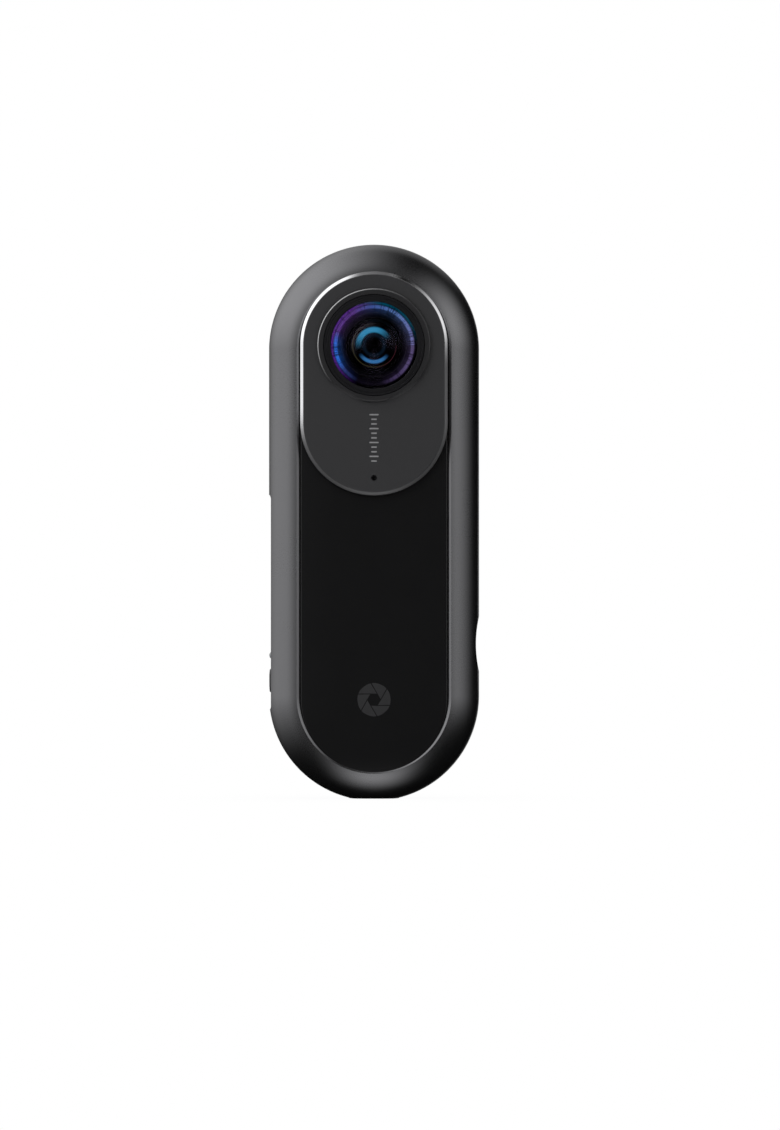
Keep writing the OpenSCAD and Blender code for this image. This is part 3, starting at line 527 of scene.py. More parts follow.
def polar(finish, centre_z):
    """Radius and angle (in turns, 0 to the right, anticlockwise) about the lens axis."""
    x, _, z = finish.axes((0, 0, centre_z))
    turn = z.math("ARCTAN2", x) / math.tau
    return (x * x + z * z).math("SQRT"), turn.math("FRACT")


def reflection_patches(radius, turn, tints):
    """A mask and a colour for each painted reflection patch."""
    return [(radius.bump_at(*across) * turn.bump_at(*along), colour) for across, along, colour in tints]


def rim_finish():
    """The blackened rim of the domed lens, with a painted reflection ring in the coating's colours."""
    finish = solid_finish("lens_rim", (0.004, 0.004, 0.005), 0.3, grain=0.1, depth=0.002)
    radius, turn = polar(finish, LENS_Z)
    hue = finish.graph.add("ShaderNodeValToRGB", {"stops": RIM_REFLECTION_HUES}, {0: turn})
    # Painted reflection: a hued ring of emission on the blackened rim.
    ring = radius.bump_at(6.2, 0.1, 0.36) + radius.bump_at(5.85, 0.2, 0.8) * 0.18
    finish.set("Emission Color", finish.graph.glow([(ring, hue)] + reflection_patches(radius, turn, RIM_REFLECTIONS)))
    return finish.set("Emission Strength", 1.0)


def inner_glass_finish():
    """The small lens deep inside: dark, with two painted reflection crescents and faint painted glowing
    rings.
    """
    finish = solid_finish("inner_glass", (0.002, 0.002, 0.003), 0.08, grain=0.5, depth=0.0, spread=0.02)
    finish.set("Specular IOR Level", HARDLY_SHINY)
    radius, turn = polar(finish, LENS_Z)
    # Painted reflections: emission crescents and rings, and a faint cyan ring round the pupil.
    pupil_reflection = radius.bump_at(1.9, 0.1, 0.4)
    parts = reflection_patches(radius, turn, INNER_REFLECTIONS) + [(pupil_reflection, DEEP_CYAN)]
    finish.set("Emission Color", finish.graph.glow(parts))
    return finish.set("Emission Strength", 1.0)


COATED = (0.1, 0.08, 0.14)


def dome_finish():
    """The polished front element, whose coating takes most of its reflection away."""
    finish = Finish("lens_glass")
    wide = finish.noise(4.0)
    finish.set("Base Color", finish.graph.mix(wide, (0.97, 0.97, 1.0), (1.0, 0.985, 0.99)))
    finish.set("Roughness", wide * 0.004)
    finish.set("Transmission Weight", 1.0).set("IOR", 1.45)
    return finish.set("Specular Tint", COATED)


LOOKS["lens_glass"] = dome_finish()
LOOKS["lens_rim"] = rim_finish()
LOOKS["inner_glass"] = inner_glass_finish()
print(f"lens axis at {LENS_Z:.2f} mm, {len(LOOKS)} finishes")

# %% [markdown]
# Most pieces of this body follow one of two rules: a profile turned about an axis, or the same
# profile carried round a stadium, which is two half circles joined by straight runs. Both are
# written once. A profile is a list of points (distance from the middle line, height towards the
# viewer), so a rounding is just an arc of points in it.

# %% Mesh helpers: profiles, sweeps and cuts


def arc(centre, radius, start, end, steps=8):
    """Points on an arc in the profile plane, angles in degrees."""
    points = []
    for i in range(steps + 1):
        angle = math.radians(start + (end - start) * i / steps)
        points.append((centre[0] + radius * math.cos(angle), centre[1] + radius * math.sin(angle)))
    return points


def dressed(obj, angle=32.0):
    """Smooth shading, kept crisp at edges sharper than the angle."""
    for face in obj.data.polygons:
        face.use_smooth = True
    obj.data.set_sharp_from_angle(angle=math.radians(angle))
    return obj


WELD, SLIVER, CUT_WELD, SLIT_SIDES = 0.0005, 0.0002, 0.002, 8


def piece(name, bm, look, angle=32.0):
    """A finished object from a mesh in millimetres: closed, facing outwards, in place."""
    bmesh.ops.remove_doubles(bm, verts=bm.verts, dist=WELD)
    bmesh.ops.dissolve_degenerate(bm, dist=SLIVER, edges=bm.edges)
    bmesh.ops.recalc_face_normals(bm, faces=bm.faces)
    bmesh.ops.transform(bm, matrix=Matrix.Scale(MM, 4), verts=bm.verts)
    mesh = bpy.data.meshes.new(name)
    bm.to_mesh(mesh)
    bm.free()
    mesh.materials.append(LOOKS[look].material)
    obj = bpy.data.objects.new(name, mesh)
    bpy.context.scene.collection.objects.link(obj)
    return dressed(obj, angle)


def stations(low, high, steps):
    """Centre heights and directions round a stadium; low equal to high gives a circle."""
    found = []
    for centre, start in ((high, 0.0), (low, 180.0)):
        for i in range(steps + 1):
            angle = math.radians(start + 180.0 * i / steps)
            found.append((centre, math.cos(angle), math.sin(angle)))
    return found


ON_AXIS = 1e-6  # a profile point nearer than this to the middle line is on it


def sweep(profile, side, low, high, steps=72):
    """Carries a closed profile round a stadium on the front or the rear side."""
    bm = bmesh.new()
    rings = []
    for centre, across, up in stations(low, high, steps):
        rings.append([bm.verts.new((r * across, side * h, centre + r * up)) for r, h in profile])
    count = len(profile)
    for ring, following in zip(rings, rings[1:] + rings[:1]):
        for i in range(count):
            j = (i + 1) % count
            if max(profile[i][0], profile[j][0]) > ON_AXIS:
                bm.faces.new((ring[i], ring[j], following[j], following[i]))
    return bm


def turned(profile, side, centre_z=LENS_Z, steps=72):
    """Turns a closed profile about the lens axis."""
    return sweep(profile, side, centre_z, centre_z, steps)


def settled(obj, angle=32.0):
    """Replaces an object's mesh by its evaluated one, with the modifiers applied."""
    graph = bpy.context.evaluated_depsgraph_get()
    mesh = bpy.data.meshes.new_from_object(obj.evaluated_get(graph))
    obj.modifiers.clear()
    obj.data = mesh
    return dressed(obj, angle)


def cleaned(obj, angle=32.0, dist=CUT_WELD):
    """Merges the points that a cut or a bevel leaves closer than dist, and closes thin slits."""
    bm = bmesh.new()
    bm.from_mesh(obj.data)
    bmesh.ops.remove_doubles(bm, verts=bm.verts, dist=dist * MM)
    bmesh.ops.dissolve_degenerate(bm, dist=dist * MM, edges=bm.edges)
    open_edges = [edge for edge in bm.edges if edge.is_boundary]
    bmesh.ops.holes_fill(bm, edges=open_edges, sides=SLIT_SIDES)
    bm.to_mesh(obj.data)
    bm.free()
    return dressed(obj, angle)


def combine(obj, cutters, operation="DIFFERENCE", angle=32.0):
    """Cuts the given objects out of obj, or adds them to it, and removes them."""
    for cutter in cutters:
        change = obj.modifiers.new("cut", "BOOLEAN")
        change.operation = operation
        change.solver = "EXACT"
        change.object = cutter
    settled(obj, angle)
    for cutter in cutters:
        bpy.data.objects.remove(cutter)
    return cleaned(obj, angle)


def softened(obj, width, steps=2, sharp=38.0, angle=32.0, clamp=True):
    """Rounds the edges sharper than the given angle; clamp narrows the width where edges are short."""
    bevel = obj.modifiers.new("soften", "BEVEL")
    bevel.width = width * MM
    bevel.segments = steps
    bevel.limit_method = "ANGLE"
    bevel.angle_limit = math.radians(sharp)
    bevel.use_clamp_overlap = clamp
    settled(obj, angle)
    return cleaned(obj, angle, WELD)


def extruded(outline, thick, frame_matrix):
    """A flat outline pushed from 0 to thick, placed by a matrix; all in millimetres."""
    bm = bmesh.new()
    lower = [bm.verts.new((x, y, 0)) for x, y in outline]
    upper = [bm.verts.new((x, y, thick)) for x, y in outline]
    bm.faces.new(lower)
    bm.faces.new(upper)
    for i in range(len(outline)):
        j = (i + 1) % len(outline)
        bm.faces.new((lower[i], lower[j], upper[j], upper[i]))
    bmesh.ops.transform(bm, matrix=frame_matrix, verts=bm.verts)
    return bm


# Drawing planes: the first two columns carry the outline, the third the push
ALONG_X = Matrix(((0, 0, 1, 0), (1, 0, 0, 0), (0, 1, 0, 0), (0, 0, 0, 1)))
ALONG_Y = Matrix(((1, 0, 0, 0), (0, 0, 1, 0), (0, 1, 0, 0), (0, 0, 0, 1)))
ALONG_Z = Matrix.Identity(4)


def side_plane(side):
    """Outlines in x and z, pushed towards the front or the rear."""
    return Matrix(((1, 0, 0, 0), (0, 0, side, 0), (0, 1, 0, 0), (0, 0, 0, 1)))


def rounded_outline(width, length, radius, steps=8):
    """A rectangle with round corners about its middle; a radius of half the width gives an oval."""
    points = []
    for sx, sy, start in ((1, 1, 0), (-1, 1, 90), (-1, -1, 180), (1, -1, 270)):
        centre = (sx * (width / 2 - radius), sy * (length / 2 - radius))
        points += arc(centre, radius, start, start + 90, steps)
    return points


def oval(width, length, steps=12):
    return rounded_outline(width, length, width / 2 - 0.001, steps)


def bar(name, outline, start, end, plane, at=(0, 0, 0), look="lens_metal"):
    """A prism from start to end along the plane's normal, with its middle at a point."""
    push = Matrix.Translation(Vector(at) + plane.col[2].xyz * start)
    return piece(name, extruded(outline, end - start, push @ plane), look)


def cutter(outline, start, end, plane, at=(0, 0, 0)):
    """A prism that is there to be taken out of a piece."""
    return bar("cut", outline, start, end, plane, at)


def disc(radius, steps=64):
    turns = [math.tau * i / steps for i in range(steps)]
    return [(radius * math.cos(turn), radius * math.sin(turn)) for turn in turns]


def carry(obj, body, slot, *replaced):
    """Ties a new piece to its body, and hides the CAD nodes it stands for; the slot is not used."""
    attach(obj, body)
    if replaced:
        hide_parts(*replaced)
    return obj


print("helpers ready")

# %% [markdown]
# The band is two castings that meet on a fine parting line round the middle. Each half is one
# profile carried round the stadium: the outer wall, a generous round towards the face, a small
# bevelled lip into the opening, and the deck that the panel is taped to. The cuts follow: the lens
# hole, the flat foot with its thread seat, the flat recess on the left, the slot for the plug and
# the shallow thumb dish on the right.

# %% Sizes read from the frame
housing_box, panel_box, plate_box = box_mm("front_housing"), box_mm("front_panel"), box_mm("front_bezel")
SIDE_R = housing_box[1].x
TOP_Z = housing_box[1].z
HALF_T = -housing_box[0].y
FOOT_CUT, EDGE_R, WALL = 0.4, 6.2, 1.5
FLAT_HALF = HALF_T - EDGE_R
LOWER_C, UPPER_C = SIDE_R - FOOT_CUT, TOP_Z - SIDE_R
PANEL_GAP, PLATE_GAP, PANEL_ROUND = 0.25, 0.15, 0.15
PANEL_R = panel_box[1].x
PANEL_LOW, PANEL_HIGH = panel_box[0].z + PANEL_R, panel_box[1].z - PANEL_R
PANEL_BACK = -panel_box[1].y
TAPE_T, DECK_T = 0.1, 1.0
DECK_FACE = PANEL_BACK - TAPE_T
DECK_BACK = DECK_FACE - DECK_T
OPENING_R = PANEL_R + PANEL_GAP
INNER_ROUND = 0.5
BARREL_R = box_mm("front_lens_retainer")[1].x
HOLE_R = BARREL_R + 0.1
DISH_DEEP, DISH_LONG, DISH_Z = 0.56, 9.6, LOWER_C + 9.0
DISH_R = (DISH_LONG**2 / 4 + DISH_DEEP**2) / (2 * DISH_DEEP)


def face_hole(radius, z, side, steps=96):
    """A round cutter through the front or the rear half, at a height."""
    return cutter(disc(radius, steps), 0, 2 * HALF_T, side_plane(side), (0, 0, z))


def thumb_dish():
    """A wide shallow cutter for the dish in the right side."""
    return cutter(disc(DISH_R, 360), -SIDE_R, SIDE_R, ALONG_Y, (SIDE_R - DISH_DEEP + DISH_R, 0, DISH_Z))


print(f"band {2 * SIDE_R:.1f} by {2 * HALF_T:.1f} by {TOP_Z:.1f} mm, opening radius {OPENING_R:.2f} mm")

# %% Band halves
BEYOND = 1.0


def band_profile():
    """The section of a band half, from the parting line round to the parting line."""
    seam, centre = 0.1, (SIDE_R - EDGE_R, FLAT_HALF)
    reach = math.degrees(math.acos((OPENING_R + INNER_ROUND - centre[0]) / EDGE_R))
    lip_h = centre[1] + EDGE_R * math.sin(math.radians(reach)) - INNER_ROUND
    inner_r = EDGE_R - WALL
    turn = math.degrees(math.asin((DECK_BACK - FLAT_HALF) / inner_r))
    outer = [(SIDE_R - seam, 0.0), (SIDE_R - seam * 0.3, seam * 0.3), (SIDE_R, seam), (SIDE_R, seam * 2)]
    outer += arc(centre, EDGE_R, 0, reach, 24)
    edge, slope = 0.1, 30
    fall = (INNER_ROUND - edge) * math.tan(math.radians(slope))
    crest_h = lip_h + INNER_ROUND - edge
    lip = arc((OPENING_R + INNER_ROUND, crest_h), edge, 90, 90 + slope, 3)
    lip += arc((OPENING_R + edge, crest_h - fall), edge, 90 + slope, 180, 4)
    deck = [(OPENING_R, DECK_FACE), (0.0, DECK_FACE), (0.0, DECK_BACK)]
    hollow = arc(centre, inner_r, turn, 0, 8) + [(SIDE_R - WALL, 0.0)]
    return outer + lip + deck + hollow


def recess_cutters():
    """The recess of the side plate, its ledge and the opening inside the ledge."""
    low, high = box_mm("side_plate")
    width, length, middle = high.y - low.y, high.z - low.z, (low.z + high.z) / 2
    margin, play, ledge, corner, inner_corner, deep = 0.8, 0.1, 2.0, 1.5, 1.0, 5.0
    outside = -SIDE_R - BEYOND
    steps = [(margin, corner, low.x), (play, corner, high.x), (-ledge, inner_corner, outside + deep)]
    cuts = []
    for wider, rounding, end in steps:
        outline = rounded_outline(width + wider, length + wider, rounding)
        cuts.append(cutter(outline, outside, end, ALONG_X, (0, 0, middle)))
    return cuts


def slot_cutter():
    """The slot that the folded plug lies in."""
    arm, low, back = box_mm("plug_arm"), box_mm("plug_shell")[0].z, box_mm("plug_tray")[0].x
    play, end, corner = 0.2, 0.4, 0.6
    low, high = low - end, arm[1].z + end
    outline = rounded_outline(2 * (arm[1].y + play), high - low, corner)
    return cutter(outline, back, SIDE_R + BEYOND, ALONG_X, (0, 0, (low + high) / 2))


def foot_cutters():
    """The flat foot and the stepped seat of the tripod bush."""
    bush = box_mm("tripod_bush")[1]
    play, shoulder_deep, shoulder = 0.05, 1.2, 0.25
    return [
        cutter(rounded_outline(4 * SIDE_R, 4 * SIDE_R, 1), -SIDE_R, 0, ALONG_Z),
        cutter(disc(bush.x + play), -BEYOND, shoulder_deep, ALONG_Z),
        cutter(disc(bush.x - shoulder), -BEYOND, bush.z, ALONG_Z),
    ]


def band_cutters(side):
    """Everything that is taken out of a band half."""
    lens_hole = face_hole(HOLE_R, LENS_Z, side, 64)
    return [lens_hole] + recess_cutters() + [slot_cutter(), thumb_dish()] + foot_cutters()


for word, side in SIDES.items():
    half = piece(f"{word}_band", sweep(band_profile(), side, LOWER_C, UPPER_C, 96), "band")
    combine(half, band_cutters(side))
    softened(half, 0.05, 2, sharp=50.0, angle=18.0, clamp=False)
    carry(half, "camera", "band", f"{word}_housing")
    print(half.name, len(half.data.polygons), "faces")

# %% [markdown]
# The panel is a polished sheet with a rounded rim. The lens plate stands on it: a thicker plate whose
# edge is a straight bevel, polished enough to catch every lamp as a thin bright line, and a low ring
# round the lens with two flats at its lower left and right. The ring is turned, the flats are cut,
# and then it is joined to the plate, as it would be in one moulding.

# %% Panels and lens plates


def sheet_profile(radius, low, high, rounding, steps):
    """Half the section of a sheet with a rounded rim on its upper face."""
    centre = (radius - rounding, high - rounding)
    return [(0.0, low), (radius, low)] + arc(centre, rounding, 0, 90, steps) + [(0.0, high)]


def bevelled_profile(radius, low, high, slope, length, lower_round, upper_round):
    """Half the section of a plate whose edge is a straight bevel between two small rounds."""
    lean = 90 - slope
    cos, sin = math.cos(math.radians(lean)), math.sin(math.radians(lean))
    bevel_top = high - upper_round * (1 - sin)
    lower_h = bevel_top - length * cos - lower_round * sin
    lower = arc((radius - lower_round, lower_h), lower_round, 0, lean, 6)
    start = lower[-1]
    upper_centre = (start[0] - length * sin - upper_round * cos, high - upper_round)
    return [(0.0, low), (radius, low)] + lower + arc(upper_centre, upper_round, lean, 90, 4) + [(0.0, high)]


PLATE_R = OPENING_R - PLATE_GAP
PLATE_BEVEL = {"slope": 32, "length": 0.5, "lower_round": 0.25, "upper_round": 0.3}
MOUND_R, MOUND_FLAT, FLAT_TILT, MOUND_ROUND, SUNK = HOLE_R + 1.0, 0.6, 32.0, 0.35, 0.2
PLATE_LOW = plate_box[0].z + PLATE_R
MIC_HOLE_R = 0.5
MIC_Z = sum(corner.z for corner in box_mm("mic_boot")) / 2


def flat_cutter(turn, side):
    """A block that takes the flat off the ring, turned about the lens axis."""
    low, high = -3 * MOUND_R, MOUND_FLAT - MOUND_R
    corners = [(-MOUND_R, low), (MOUND_R, low), (MOUND_R, high), (-MOUND_R, high)]
    cos, sin = math.cos(math.radians(turn)), math.sin(math.radians(turn))
    outline = [(x * cos - y * sin, x * sin + y * cos) for x, y in corners]
    return cutter(outline, PLATE_FACE + JUST_OVER, 2 * HALF_T, side_plane(side), (0, 0, LENS_Z))


def mic_hole(radius, side):
    """The microphone's hole, which only the front has."""
    return [face_hole(radius, MIC_Z, side, 32)] if side == FRONT else []


def gloss_panel(word, side):
    """The sheet, with the hole for the lens."""
    profile = sheet_profile(PANEL_R, PANEL_BACK, PANEL_FACE, PANEL_ROUND, 4)
    sheet = piece(f"{word}_gloss_panel", sweep(profile, side, PANEL_LOW, PANEL_HIGH), "gloss_panel")
    return combine(sheet, [face_hole(HOLE_R, LENS_Z, side)] + mic_hole(MIC_HOLE_R + 0.1, side))


def lens_ring(side):
    """The low ring round the lens, with its flats."""
    profile = sheet_profile(MOUND_R, PANEL_FACE + SUNK, MOUND_FACE, MOUND_ROUND, 6)
    ring = piece("ring", turned(profile, side, steps=96), "lens_plate")
    combine(ring, [flat_cutter(turn, side) for turn in (-FLAT_TILT, FLAT_TILT)])
    return softened(ring, 0.1, 2, sharp=40.0)


def lens_plate(word, side):
    """The plate and its ring, joined and bored."""
    profile = bevelled_profile(PLATE_R, PANEL_FACE, PLATE_FACE, **PLATE_BEVEL)
    plate = piece(f"{word}_lens_plate", sweep(profile, side, PLATE_LOW, LENS_Z), "lens_plate")
    combine(plate, [lens_ring(side)], "UNION")
    combine(plate, [face_hole(HOLE_R, LENS_Z, side)])
    if side == FRONT:
        combine(plate, mic_hole(MIC_HOLE_R, side))
    return plate


for word, side in SIDES.items():
    sheet = carry(gloss_panel(word, side), "camera", "gloss_panel", f"{word}_panel")
    plate = carry(lens_plate(word, side), "camera", "lens_plate", f"{word}_bezel")
    print(word, "panel and plate:", len(sheet.data.polygons), "and", len(plate.data.polygons), "faces")

# %% [markdown]
# The domed lens is a deep meniscus: a gentle curve outside, a much tighter one inside, and a ground
# rim between them that the maker paints black. It is turned from one profile. Its rim faces get
# the black finish, so the glass shows the rim through the curve, as the real one does.

# %% Domed lenses and retainers
CLEAR_R, HOLLOW_R, GLASS_T, FLANGE_W, FLANGE_H = 4.5, 5.9, 1.3, 0.5, 0.7


def sphere_h(radius, centre_h, r):
    """Height of a sphere's surface at distance r from the lens axis."""
    return centre_h + math.sqrt(max(0.0, radius**2 - r**2))


def dome_profile(word):
    """Outer curve, skirt, seated flange, rim and hollow of the domed lens."""
    flange_r = box_mm(f"{word}_dome_lens")[1].x
    base, apex = heights_mm(f"{word}_dome_lens")
    top = heights_mm(f"{word}_lens_retainer")[1]
    glass_r, rise, steps = flange_r - FLANGE_W, apex - top, 24
    curve = (glass_r**2 + rise**2) / (2 * rise)
    hollow_h = apex - GLASS_T - HOLLOW_R
    rim_r = math.sqrt(HOLLOW_R**2 - (base - hollow_h) ** 2)
    outer_radii = [glass_r * i / steps for i in range(steps + 1)]
    hollow_radii = [rim_r * i / steps for i in range(steps, -1, -1)]
    outer = [(r, sphere_h(curve, apex - curve, r)) for r in outer_radii]
    skirt = [(glass_r, base + FLANGE_H), (flange_r, base + FLANGE_H), (flange_r, base)]
    hollow = [(r, sphere_h(HOLLOW_R, hollow_h, r)) for r in hollow_radii]
    return outer + skirt + hollow, rim_r, base


def paint_rim(dome, rim_r, base):
    """Gives the flange and the outer part of the hollow the black finish, which carries the painted
    reflection ring.
    """
    dome.data.materials.append(LOOKS["lens_rim"].material)
    for face in dome.data.polygons:
        centre = face.center / MM
        off_axis = math.hypot(centre.x, centre.z - LENS_Z)
        flange = abs(centre.y) < base + FLANGE_H + 0.05 and off_axis > rim_r - 0.01
        outward = (face.normal.x * centre.x + face.normal.z * (centre.z - LENS_Z)) > 0
        face.material_index = 1 if flange or (off_axis > CLEAR_R and not outward) else 0


def retainer_profile(word):
    """A ring with a rounded lip and a groove that stops stray light."""
    low, top = heights_mm(f"{word}_lens_retainer")
    inner, outer, lip = BARREL_R - 1.2, BARREL_R, 0.35
    groove_deep, inner_round, outer_round, step = 0.05, 0.12, 0.1, 0.75
    groove = [(inner + 0.62, top), (inner + 0.68, top - groove_deep)]
    groove += [(inner + 0.76, top - groove_deep), (inner + 0.82, top)]
    upper = arc((inner + inner_round, top - inner_round), inner_round, 180, 90, 4) + groove
    upper += arc((outer - outer_round, top - outer_round), outer_round, 90, 0, 4)
    return [(inner, low)] + upper + [(outer, top - lip), (outer - step, top - lip), (outer - step, low)]


for word, side in SIDES.items():
    profile, rim_r, base = dome_profile(word)
    dome = piece(f"{word}_dome", turned(profile, side, steps=128), "lens_glass", angle=25.0)
    paint_rim(dome, rim_r, base)
    carry(dome, "camera", "lens_glass", f"{word}_dome_lens")
    ring = piece(f"{word}_retainer", turned(retainer_profile(word), side, steps=128), "lens_metal")
    carry(ring, "camera", "lens_metal", f"{word}_lens_retainer")
    print(word, "dome:", len(dome.data.polygons), "faces, rim from", round(rim_r, 2), "mm")

# %% [markdown]
# Small marks are printed in a thin film of ink. A row of strokes of two lengths stands on the lens
# plate, and an iris of six blades on the panel below. Both repeat one shape by a rule, which is what
# Geometry Nodes are for: the tree has named inputs, and each is set by its identifier before the
# object is first evaluated. The result becomes a plain mesh, because an export drops instances.

# %% Geometry Nodes helpers
FLOAT, WHOLE, VECTOR = "NodeSocketFloat", "NodeSocketInt", "NodeSocketVector"
OBJECT = "NodeSocketObject"
SAME_POINT = 1e-7


def by_rule(name, look, inputs, build):
    """A mesh object made by a small Geometry Nodes tree; inputs maps a name to (socket type, value)."""
    tree = bpy.data.node_groups.new(name, "GeometryNodeTree")
    graph = Graph(tree)
    for key, (kind, _) in inputs.items():
        tree.interface.new_socket(key, in_out="INPUT", socket_type=kind)
    tree.interface.new_socket("Geometry", in_out="OUTPUT", socket_type="NodeSocketGeometry")
    group = graph.add("NodeGroupInput").socket.node
    given = {key: Sock(graph, group.outputs[key]) for key in inputs}
    real = graph.add("GeometryNodeRealizeInstances", inputs={0: build(graph, given)})
    painted = graph.add("GeometryNodeSetMaterial", inputs={0: real, "Material": LOOKS[look].material})
    graph.add("NodeGroupOutput", inputs={0: painted})
    obj = bpy.data.objects.new(name, bpy.data.meshes.new(name))
    bpy.context.scene.collection.objects.link(obj)
    rule = obj.modifiers.new("rule", "NODES")
    rule.node_group = tree
    for item in tree.interface.items_tree:
        if item.in_out == "INPUT":
            rule[item.identifier] = inputs[item.name][1]
    return settled(obj)


def slab(graph, width, length, radius, thick):
    """A small closed slab with round corners, lying flat on its middle."""
    size = {"Width": width, "Height": length}
    shape = graph.add("GeometryNodeCurvePrimitiveQuadrilateral", inputs=size)
    corners = {"Curve": shape, "Radius": radius, "Limit Radius": True, "Count": 3}
    shape = graph.add("GeometryNodeFilletCurve", {"mode": "POLY"}, corners)
    base = graph.add("GeometryNodeFillCurve", {"mode": "NGONS"}, {0: shape})
    push = {"Mesh": base, "Offset Scale": thick, "Individual": False}
    raised = graph.add("GeometryNodeExtrudeMesh", inputs=push)
    under = graph.add("GeometryNodeFlipFaces", inputs={0: base})
    both = graph.add("GeometryNodeJoinGeometry", inputs={0: [raised, under]})
    return graph.add("GeometryNodeMergeByDistance", inputs={0: both, "Distance": SAME_POINT})


def point_row(graph, count, start, step):
    """Points one step apart."""
    line = {"Count": count, "Start Location": start, "Offset": step}
    return graph.add("GeometryNodeMeshLine", {"mode": "OFFSET"}, line)


def placed(graph, points, instance, turn, scale=(1, 1, 1)):
    """The instance on each point, turned and scaled."""
    inputs = {"Points": points, "Instance": instance, "Rotation": turn, "Scale": scale}
    return graph.add("GeometryNodeInstanceOnPoints", inputs=inputs)


# %% Printed marks
UPRIGHT = (math.radians(90), 0, 0)
INK, STROKE_ROUND, SHORT, LONG_EVERY = 0.02, 0.45, 0.6, 3


def stroke_row(graph, given):
    """Strokes down a line, every third one long."""
    step = graph.add("ShaderNodeCombineXYZ", inputs={2: given["Pitch"] * -1})
    points = point_row(graph, given["Count"], given["Start"], step)
    width = given["Stroke"]
    stroke = slab(graph, given["Length"], width, width * STROKE_ROUND, given["Ink"])
    long_one = graph.add("GeometryNodeInputIndex").math("MODULO", LONG_EVERY) < 0.5
    share = long_one * (1 - SHORT) + SHORT
    size = graph.add("ShaderNodeCombineXYZ", inputs={0: share, 1: 1.0, 2: 1.0})
    return placed(graph, points, stroke, UPRIGHT, size)


SCALE_TOP, SCALE_PITCH, SCALE_COUNT = LENS_Z - 12.0, 0.8, 11
STROKE_LENGTH, STROKE_WIDTH = 1.6, 0.24
scale_marks = by_rule(
    "front_scale_marks",
    "printed_grey",
    {
        "Count": (WHOLE, SCALE_COUNT),
        "Pitch": (FLOAT, SCALE_PITCH * MM),
        "Length": (FLOAT, STROKE_LENGTH * MM),
        "Stroke": (FLOAT, STROKE_WIDTH * MM),
        "Ink": (FLOAT, INK * MM),
        "Start": (VECTOR, (0.0, -PLATE_FACE * MM, SCALE_TOP * MM)),
    },
    stroke_row,
)
carry(scale_marks, "camera", "lens_plate")
print("scale marks:", len(scale_marks.data.polygons), "faces")

# %% Iris mark
IRIS_Z, IRIS_R, IRIS_OPENING, IRIS_GAP, BLADES = 17.2, 2.95, 1.15, 0.1, 6
BLADE_TURN = math.tau / BLADES


def reach(start, through, radius):
    """Where the line from start through another point meets a circle."""
    way = (through - start).normalized()
    along = -start.dot(way)
    return start + way * (along + math.sqrt(along**2 + radius**2 - start.length_squared))


def blade_outline(outer, opening, gap):
    """One of the iris blades, between two lines that touch the many-sided opening."""
    turns = [i * BLADE_TURN for i in range(3)]
    before, corner, after = [Vector((opening * math.cos(turn), opening * math.sin(turn))) for turn in turns]
    first, last = reach(before, corner, outer), reach(corner, after, outer)
    start, end = [math.degrees(math.atan2(point.y, point.x)) for point in (first, last)]
    rim = [Vector(point) for point in arc((0, 0), outer, start, end, 8)[1:]]
    points = [corner, first] + rim + [after]
    middle = sum(points, Vector((0, 0))) / len(points)
    return [tuple(point - (point - middle).normalized() * gap) for point in points]


def six_around(graph, given):
    """The blade, turned into place as often as the count says."""
    points = point_row(graph, given["Count"], given["Middle"], (0.0, 0.0, 0.0))
    inputs = {"Object": given["Blade"]}
    blade = graph.add("GeometryNodeObjectInfo", inputs=inputs, output=OBJECT_MESH)
    index = graph.add("GeometryNodeInputIndex")
    turn = graph.add("ShaderNodeCombineXYZ", inputs={1: index * BLADE_TURN})
    return placed(graph, points, blade, turn)


OBJECT_MESH = 4  # the output of an Object Info node that holds the geometry
outline = blade_outline(IRIS_R, IRIS_OPENING, IRIS_GAP)
blade = bar("blade", outline, 0, INK, side_plane(FRONT), look="printed_dark_grey")
iris = by_rule(
    "front_iris_mark",
    "printed_dark_grey",
    {
        "Blade": (OBJECT, blade),
        "Count": (WHOLE, BLADES),
        "Middle": (VECTOR, (0.0, -PANEL_FACE * MM, IRIS_Z * MM)),
    },
    six_around,
)
bpy.data.objects.remove(blade)
carry(iris, "camera", "gloss_panel")
print("iris mark:", len(iris.data.polygons), "faces")

# %% [markdown]
# The left side plate lies in the flat recess. It is a thin moulding with openings for the button, the
# lamp, the card and the charging socket, so it is cut from a rounded sheet, and its edges are
# broken by a fine bevel. The button and the lamp are swept and turned like the rest, about an axis
# that points left.

# %% Side plate, button and lamp
TO_LEFT = Matrix.Rotation(math.radians(90), 4, "Z")


def moved(bm, matrix):
    """The same mesh, placed by a matrix."""
    bmesh.ops.transform(bm, matrix=matrix, verts=bm.verts)
    return bm


plate_lo, plate_hi = box_mm("side_plate")
button_lo, button_hi = box_mm("shutter_button")
lamp_lo, lamp_hi = box_mm("status_lamp")
card_lo, card_hi = box_mm("memory_card")
usb_lo, usb_hi = box_mm("usb_socket")
button_z, lamp_z = (button_lo.z + button_hi.z) / 2, (lamp_lo.z + lamp_hi.z) / 2
card_z, usb_z = (card_lo.z + card_hi.z) / 2, (usb_lo.z + usb_hi.z) / 2
FLANGE, LAMP_R, PLAY = 0.4, 0.7, 0.1
button_w = button_hi.y - button_lo.y - 2 * FLANGE
button_len = button_hi.z - button_lo.z - 2 * FLANGE
usb_w, usb_len = usb_hi.y - usb_lo.y, usb_hi.z - usb_lo.z
card_y = (card_lo.y + card_hi.y) / 2


def plate_opening(outline, z, y=0.0):
    return cutter(outline, plate_lo.x - BEYOND, plate_hi.x + BEYOND, ALONG_X, (0, y, z))


